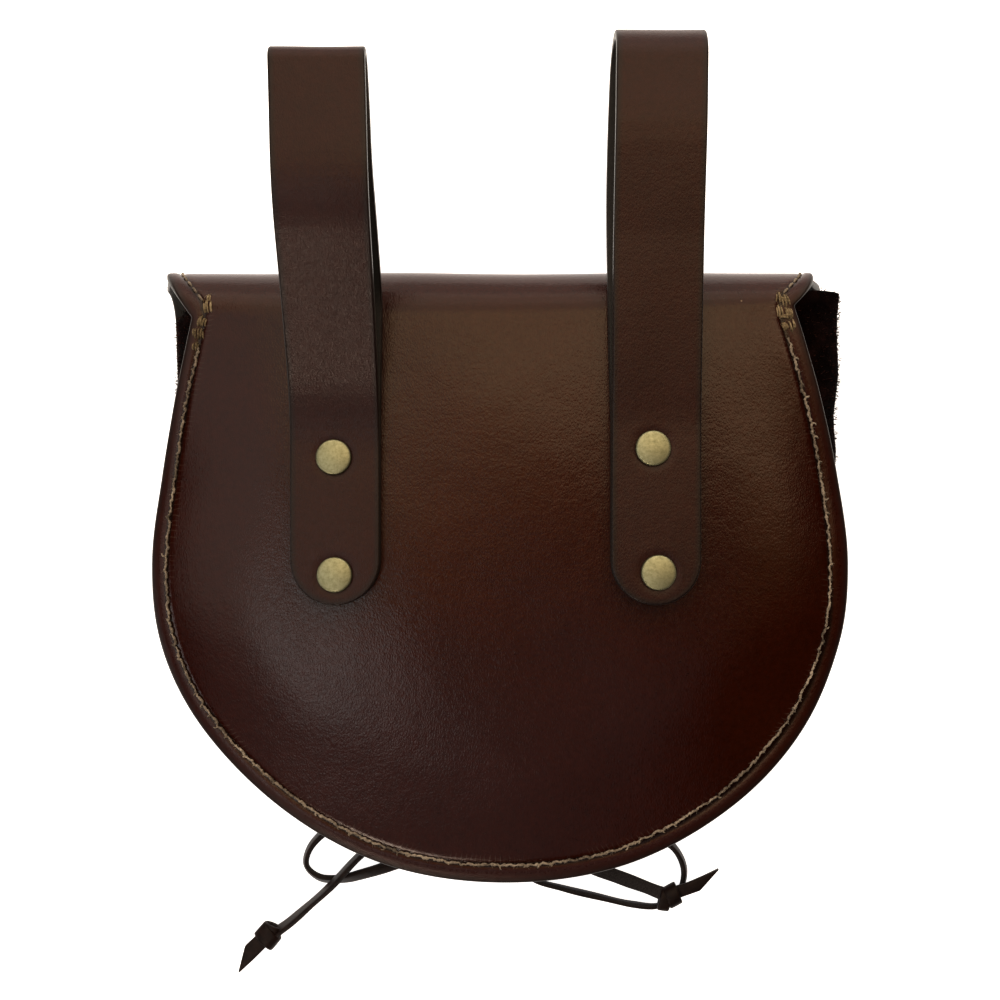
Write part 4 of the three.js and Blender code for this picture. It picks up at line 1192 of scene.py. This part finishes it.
class Nodes:
    """The nodes of one material or world. A socket gets a link or a plain value."""

    def __init__(self, tree, shader):
        self.tree = tree
        self.shader = tree.nodes[shader]
        self.frames = {}

    def fill(self, socket, value):
        if isinstance(value, bpy.types.NodeSocket):
            self.tree.links.new(value, socket)
        else:
            socket.default_value = value

    def set(self, key, value):
        self.fill(self.shader.inputs[key], value)

    def add(self, kind, inputs, output=0, **settings):
        """One output of a new node."""
        made = self.tree.nodes.new("ShaderNode" + kind)
        for key, value in settings.items():
            setattr(made, key, value)
        for key, value in inputs.items():
            self.fill(made.inputs[key], value)
        return made.outputs[output]

    def places(self, stretch=(1, 1, 1)):
        """Places in the object's own frame, in millimetres, stretched along its axes."""
        if stretch not in self.frames:
            coordinates = self.add("TexCoord", {}, "Object")
            scale = tuple(share / MM for share in stretch)
            self.frames[stretch] = self.add("Mapping", {"Vector": coordinates, "Scale": scale})
        return self.frames[stretch]

    def noise(self, scale, detail=4.0, roughness=0.55, stretch=(1, 1, 1)):
        inputs = {"Vector": self.places(stretch), "Scale": scale, "Detail": detail, "Roughness": roughness}
        return self.add("TexNoise", inputs, "Fac")

    def cells(self, scale, feature="F1", stretch=(1, 1, 1)):
        inputs = {"Vector": self.places(stretch), "Scale": scale}
        return self.add("TexVoronoi", inputs, "Distance", feature=feature)

    def value(self, name):
        """A value that the mesh holds for each of its points."""
        return self.add("Attribute", {}, "Fac", attribute_name=name)

    def ramp(self, factor, *stops):
        """A colour by a factor, from (position, colour) stops."""
        colour = self.add("ValToRGB", {"Fac": factor})
        marks = colour.node.color_ramp.elements
        while len(marks) < len(stops):
            marks.new(0.5)
        for mark, (position, tone) in zip(marks, stops):
            mark.position = position
            mark.color = (*tone, 1)
        return colour

    def share(self, value, low, high, to_low=0.0, to_high=1.0):
        """A value taken from one range to another, and kept in it."""
        inputs = {"Value": value, "From Min": low, "From Max": high, "To Min": to_low, "To Max": to_high}
        return self.add("MapRange", inputs)

    def mixed(self, factor, first, second, how="MIX"):
        if isinstance(second, tuple):
            second = (*second, 1)
        return self.add("Mix", {0: factor, 6: first, 7: second}, 2, data_type="RGBA", blend_type=how)

    def maths(self, how, first, second=0.0):
        return self.add("Math", {0: first, 1: second}, operation=how)

    def times(self, first, second):
        return self.maths("MULTIPLY", first, second)

    def plus(self, first, second):
        return self.maths("ADD", first, second)

    def bump(self, height, strength, distance, onto=None):
        inputs = {"Height": height, "Strength": strength, "Distance": distance * MM}
        if onto is not None:
            inputs["Normal"] = onto
        return self.add("Bump", inputs)


def new_material(name, colour, roughness):
    """A material of one colour and roughness, with its nodes for all that is set later."""
    material = bpy.data.materials.new(name)
    material.use_nodes = True
    nodes = Nodes(material.node_tree, "Principled BSDF")
    nodes.set("Base Color", (*colour, 1))
    nodes.set("Roughness", roughness)
    return material, nodes


def grain_height(nodes):
    """Fine leather grain: small cells with soft creases between them and a slower unevenness."""
    creases = nodes.share(nodes.cells(1.2, "DISTANCE_TO_EDGE", (1, 0.6, 1)), 0.0, 0.3)
    fine = nodes.noise(3.2, 5.0, 0.65)
    height = nodes.plus(nodes.times(creases, 0.35), nodes.times(fine, 0.2))
    return nodes.plus(height, nodes.noise(0.7, 2.0))


def seam_ticks(nodes):
    """Short pale marks across the margin inside the seam, where the sewing foot pressed."""
    past = nodes.value("past_seam")
    beat = nodes.times(nodes.value("along"), 2 * math.pi / TICK_PITCH)
    beat = nodes.plus(beat, nodes.times(nodes.noise(0.2, 2.0), 8.0))
    ticks = nodes.share(nodes.maths("SINE", beat), 0.75, 0.97)
    ticks = nodes.times(ticks, nodes.share(past, 0.7, 1.1))
    ticks = nodes.times(ticks, nodes.share(past, 2.6, 3.8, 1.0, 0.0))
    return nodes.times(ticks, nodes.share(nodes.noise(0.07, 3.0), 0.42, 0.62, 0.0, 0.55))


def painted_seam_shadow(nodes):
    """Painted shadow: darker colour close to both sides of the thread, where the pressed seam lies in shade.
    """
    apart = nodes.maths("ABSOLUTE", nodes.value("past_seam"))
    return nodes.share(apart, 0.5, 1.3, 0.75, 0.0)


def fold_wrinkles(nodes):
    """Long fine wrinkles where the back bends over the mouth."""
    y = nodes.add("SeparateXYZ", {"Vector": nodes.places()}, "Y")
    reach = nodes.times(nodes.share(y, 63, 68), nodes.share(y, 73, 76.5, 1.0, 0.0))
    return nodes.times(nodes.noise(0.8, 3.0, 0.6, (0.12, 1, 1)), reach)


def leather_colour(nodes, dark, light, inside, sewn):
    """Mottled dye with a few pale specks, burnished margins, raw cut edges and a grey flesh side; sewn
    leather also gets painted shadow beside its seam.
    """
    colour = nodes.ramp(nodes.noise(0.035, 5.0, 0.6), (0.32, dark), (0.68, light))
    patches = nodes.share(nodes.noise(0.5, 6.0, 0.7), 0.3, 0.7, 0.8, 1.2)
    colour = nodes.mixed(1.0, colour, patches, "MULTIPLY")
    specks = nodes.share(nodes.cells(0.055), 0.012, 0.02, 1.0, 0.0)
    colour = nodes.mixed(specks, colour, (0.25, 0.18, 0.12))
    burnished = nodes.share(nodes.value("depth"), 0.7, 2.4, 0.75, 0.0)
    colour = nodes.mixed(burnished, colour, (0.016, 0.01, 0.008))
    if sewn:
        # painted shadow along both sides of the seam's thread
        colour = nodes.mixed(painted_seam_shadow(nodes), colour, (0.012, 0.006, 0.004))
        colour = nodes.mixed(seam_ticks(nodes), colour, (0.12, 0.08, 0.062))
    edge = nodes.share(nodes.maths("ABSOLUTE", nodes.value("face")), 0.6, 0.8, 0.8, 0.0)
    colour = nodes.mixed(edge, colour, (0.055, 0.051, 0.045))
    nap = nodes.noise(1.6, 5.0, 0.7)
    flesh = nodes.ramp(nap, (0.3, (0.0385, 0.0352, 0.0319)), (0.75, (0.07, 0.064, 0.058)))
    return nodes.mixed(inside, colour, flesh)


def leather(name, dark, light, roughness, sewn=False, shine=0.5, grain=0.1):
    """Smooth dyed leather with a fine grain. The sewn one also has marks and painted shadow along its seam,
    and a duller rim.
    """
    material, nodes = new_material(name, light, roughness)
    inside = nodes.share(nodes.value("face"), -0.9, -1.0)
    nodes.set("Base Color", leather_colour(nodes, dark, light, inside, sewn))
    rough = nodes.share(nodes.noise(0.9, 5.0), 0.3, 0.7, roughness - 0.04, roughness + 0.06)
    rough = nodes.plus(rough, nodes.times(inside, 0.45))
    height = grain_height(nodes)
    if sewn:
        rough = nodes.plus(rough, nodes.share(nodes.value("depth"), 1.0, 5.0, 0.22, 0.0))
        height = nodes.plus(height, fold_wrinkles(nodes))
    nodes.set("Roughness", rough)
    nodes.set("Specular IOR Level", shine)
    waves = nodes.bump(nodes.noise(0.05, 3.0, 0.5), 1.0, 0.2)
    nodes.set("Normal", nodes.bump(height, 0.45, grain, waves))
    return material


def suede(name):
    """Rough flesh side with a reddish nap."""
    material, nodes = new_material(name, (0.028, 0.011, 0.008), 0.95)
    fibres = nodes.noise(2.4, 8.0, 0.75, (1, 1, 0.45))
    tone = nodes.plus(nodes.times(nodes.noise(0.12), 0.5), nodes.times(fibres, 0.6))
    stops = (0.4, (0.0006, 0.0003, 0.0003)), (0.58, (0.006, 0.0018, 0.0014)), (0.78, (0.05, 0.014, 0.011))
    colour = nodes.mixed(nodes.value("paleness"), nodes.ramp(tone, *stops), (0.16, 0.06, 0.045))
    nodes.set("Base Color", colour)
    nodes.set("Specular IOR Level", 0.04)
    nodes.set("Normal", nodes.bump(fibres, 0.8, 0.5))
    return material


def brass(name):
    """Antique brass: a greenish gold cap with dull spots, and a rim darkened with painted shade where the gap
    round the cap lies in shadow.
    """
    material, nodes = new_material(name, (0.4, 0.31, 0.13), 0.36)
    patina = nodes.noise(0.9, 7.0, 0.7)
    stops = (0.3, (0.32, 0.32, 0.2)), (0.5, (0.42, 0.42, 0.28)), (0.75, (0.5, 0.5, 0.35))
    # painted shade: the cap's rim is darkened where the gap round it lies in shadow
    rim = nodes.times(nodes.share(nodes.value("radius"), 5.6, 5.95), 0.7)
    nodes.set("Base Color", nodes.mixed(rim, nodes.ramp(patina, *stops), (0.06, 0.045, 0.02)))
    nodes.set("Metallic", 0.8)
    nodes.set("Roughness", nodes.share(patina, 0.3, 0.7, 0.56, 0.44))
    nodes.set("Normal", nodes.bump(patina, 0.08, 0.1))
    return material


def thread(name, dark, middle, light):
    """Rough twisted thread."""
    material, nodes = new_material(name, middle, 0.8)
    fuzz = nodes.noise(1.4, 5.0, 0.75)
    soil = nodes.noise(0.12, 3.0)
    tone = nodes.plus(nodes.times(fuzz, 0.6), nodes.times(soil, 0.5))
    nodes.set("Base Color", nodes.ramp(tone, (0.42, dark), (0.55, middle), (0.7, light)))
    twist = nodes.add("TexWave", {"Vector": nodes.places(), "Scale": 1.1, "Distortion": 2.0}, "Fac")
    nodes.set("Normal", nodes.bump(twist, 0.5, 0.15))
    return material


def lace_leather(name):
    """Lace leather with a dark grain side and a grey-brown rough flesh side."""
    material, nodes = new_material(name, (0.02, 0.013, 0.011), 0.5)
    grain = nodes.ramp(nodes.noise(0.3, 5.0), (0.35, (0.012, 0.0045, 0.003)), (0.7, (0.032, 0.013, 0.009)))
    nap = nodes.noise(2.2, 6.0, 0.7)
    flesh = nodes.ramp(nap, (0.3, (0.02, 0.018, 0.019)), (0.7, (0.1, 0.09, 0.096)))
    face = nodes.share(nodes.value("face"), -0.3, 0.3)
    nodes.set("Base Color", nodes.mixed(face, flesh, grain))
    nodes.set("Roughness", nodes.share(face, 0.0, 1.0, 0.85, 0.45))
    nodes.set("Specular IOR Level", 0.35)
    nodes.set("Normal", nodes.bump(nap, 0.35, 0.2))
    return material


# Stage

def make_floor():
    """A plain pale floor under the pouch, which glows so that it stays white round the soft shadows."""
    mesh = bpy.data.meshes.new("floor")
    corners = [(x * FLOOR_HALF, y * FLOOR_HALF, FLOOR_LEVEL) for x, y in ((-1, -1), (1, -1), (1, 1), (-1, 1))]
    mesh.from_pydata(corners, [], [(0, 1, 2, 3)])
    material, nodes = new_material("floor_white", (0.86, 0.86, 0.86), 0.9)
    nodes.set("Specular IOR Level", 0)
    nodes.set("Emission Color", (1, 1, 1, 1))
    nodes.set("Emission Strength", FLOOR_GLOW)
    mesh.materials.append(material)
    floor = bpy.data.objects.new("floor", mesh)
    bpy.context.scene.collection.objects.link(floor)


def softbox(name, place, target, size, power, colour):
    data = bpy.data.lights.new(name, "AREA")
    data.shape = "RECTANGLE"
    data.size, data.size_y = size
    data.energy = power
    data.color = colour
    light = bpy.data.objects.new(name, data)
    light.visible_camera = False
    light.location = place
    light.rotation_euler = (Vector(target) - Vector(place)).to_track_quat("-Z", "Y").to_euler()
    bpy.context.scene.collection.objects.link(light)


def make_lights():
    """Soft lights, and a backdrop that is white like the floor and gives almost no light of its own."""
    world = bpy.data.worlds.new("studio")
    world.use_nodes = True
    nodes = Nodes(world.node_tree, "Background")
    nodes.set("Color", (1, 1, 1, 1))
    seen = nodes.add("LightPath", {}, "Is Camera Ray")
    nodes.set("Strength", nodes.share(seen, 0.0, 1.0, WORLD_STRENGTH, 1.0))
    bpy.context.scene.world = world
    for name, (x, y, *settings) in CEILING_PANELS.items():
        softbox(name, (x, y, CEILING), (x, y, 0), *settings)
    for name, settings in WALL_PANELS.items():
        softbox(name, *settings)
    bpy.context.scene.view_settings.view_transform = "Standard"
    bpy.context.scene.view_settings.gamma = VIEW_GAMMA


# Building the scene

def make_laces(material):
    for side, settings in END_KNOTS.items():
        knot = make_piece("knot_" + side, end_knot(settings), material, "lace", "end_knot_" + side)
    make_piece("bow", bow_knot(), material, "lace", "bow_knot")
    make_piece("bridge_lace", lace_bridge(), material, "lace", "lace_bridge")
    for name, route in LACE_ROUTES.items():
        part, place = lace_strip(route, name == FLESH_UP)
        piece = make_piece(name.replace("lace_", "lace_strand_"), [part], material, "lace", name)
        float(lengths_along(place)[-1] * MM)


def make_stitching():
    rng = np.random.default_rng(SEED + 1)
    grey_tan = thread("grey_tan_thread", (0.11, 0.09, 0.07), (0.32, 0.272, 0.22), (0.62, 0.55, 0.46))
    olive_tan = thread("olive_tan_thread", (0.1, 0.076, 0.042), (0.31, 0.245, 0.15), (0.6, 0.5, 0.34))
    # near-black material that paints the shadow inside the needle holes
    holes, _ = new_material("needle_hole_shadow", (0.003, 0.002, 0.0015), 0.9)
    make_piece("back_seam_thread", wavy_seam(rng), grey_tan, "body_leather")
    make_piece("flap_seam_thread", flap_seam(), grey_tan, "body_leather")
    make_piece("front_seam_thread", front_seam(), grey_tan, "front_leather")
    for name, bundles in BAR_TACKS.items():
        make_piece(name, bar_tack(bundles, rng), olive_tan, "body_leather")
    make_piece("back_seam_hole_shadows", seam_hole_shadows(rng), holes, "body_leather")


def slot_materials():
    """The main material of each slot in the part's record."""
    return {
        "body_leather": leather(
            "body_grain", (0.039, 0.0056, 0.0015), (0.047, 0.0072, 0.002), 0.19, sewn=True
        ),
        "front_leather": leather("front_grain", (0.037, 0.0056, 0.0017), (0.045, 0.0072, 0.0022), 0.4),
        "strap_leather": leather(
            "strap_grain", (0.035, 0.0056, 0.0016), (0.043, 0.0072, 0.0022), 0.35, shine=0.48, grain=0.14
        ),
        "suede": suede("suede_nap"),
        "brass": brass("antique_brass"),
        "lace": lace_leather("lace_grain"),
    }


def make_pieces(materials):
    make_laces(materials["lace"])
    shapes = [
        ("back_fold_flap", body_sheet(), "body_leather", "back_and_flap"),
        ("front_leather_panel", front_sheet(), "front_leather", "front_panel"),
        ("suede_gusset", gusset_sheet(), "suede", "gusset"),
    ]
    shapes += [(name + "_strap", strap_sheet(name), "strap_leather", name) for name in LOOPS]
    shapes += [(name + "_cap", rivet_parts(x, y), "brass", name) for name, (x, y) in RIVETS.items()]
    for name, parts, slot, cad_node in shapes:
        make_piece(name, parts, materials[slot], slot, cad_node)
    make_stitching()


def build():
    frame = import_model()
    make_camera()
    materials = slot_materials()
    make_pieces(materials)
    for entry in frame["record"]["subparts"]:
        shown = frame["nodes"][entry["node"]].data.materials
        shown.clear()
        shown.append(materials[entry["material_slot"]])
    make_floor()
    make_lights()


build()
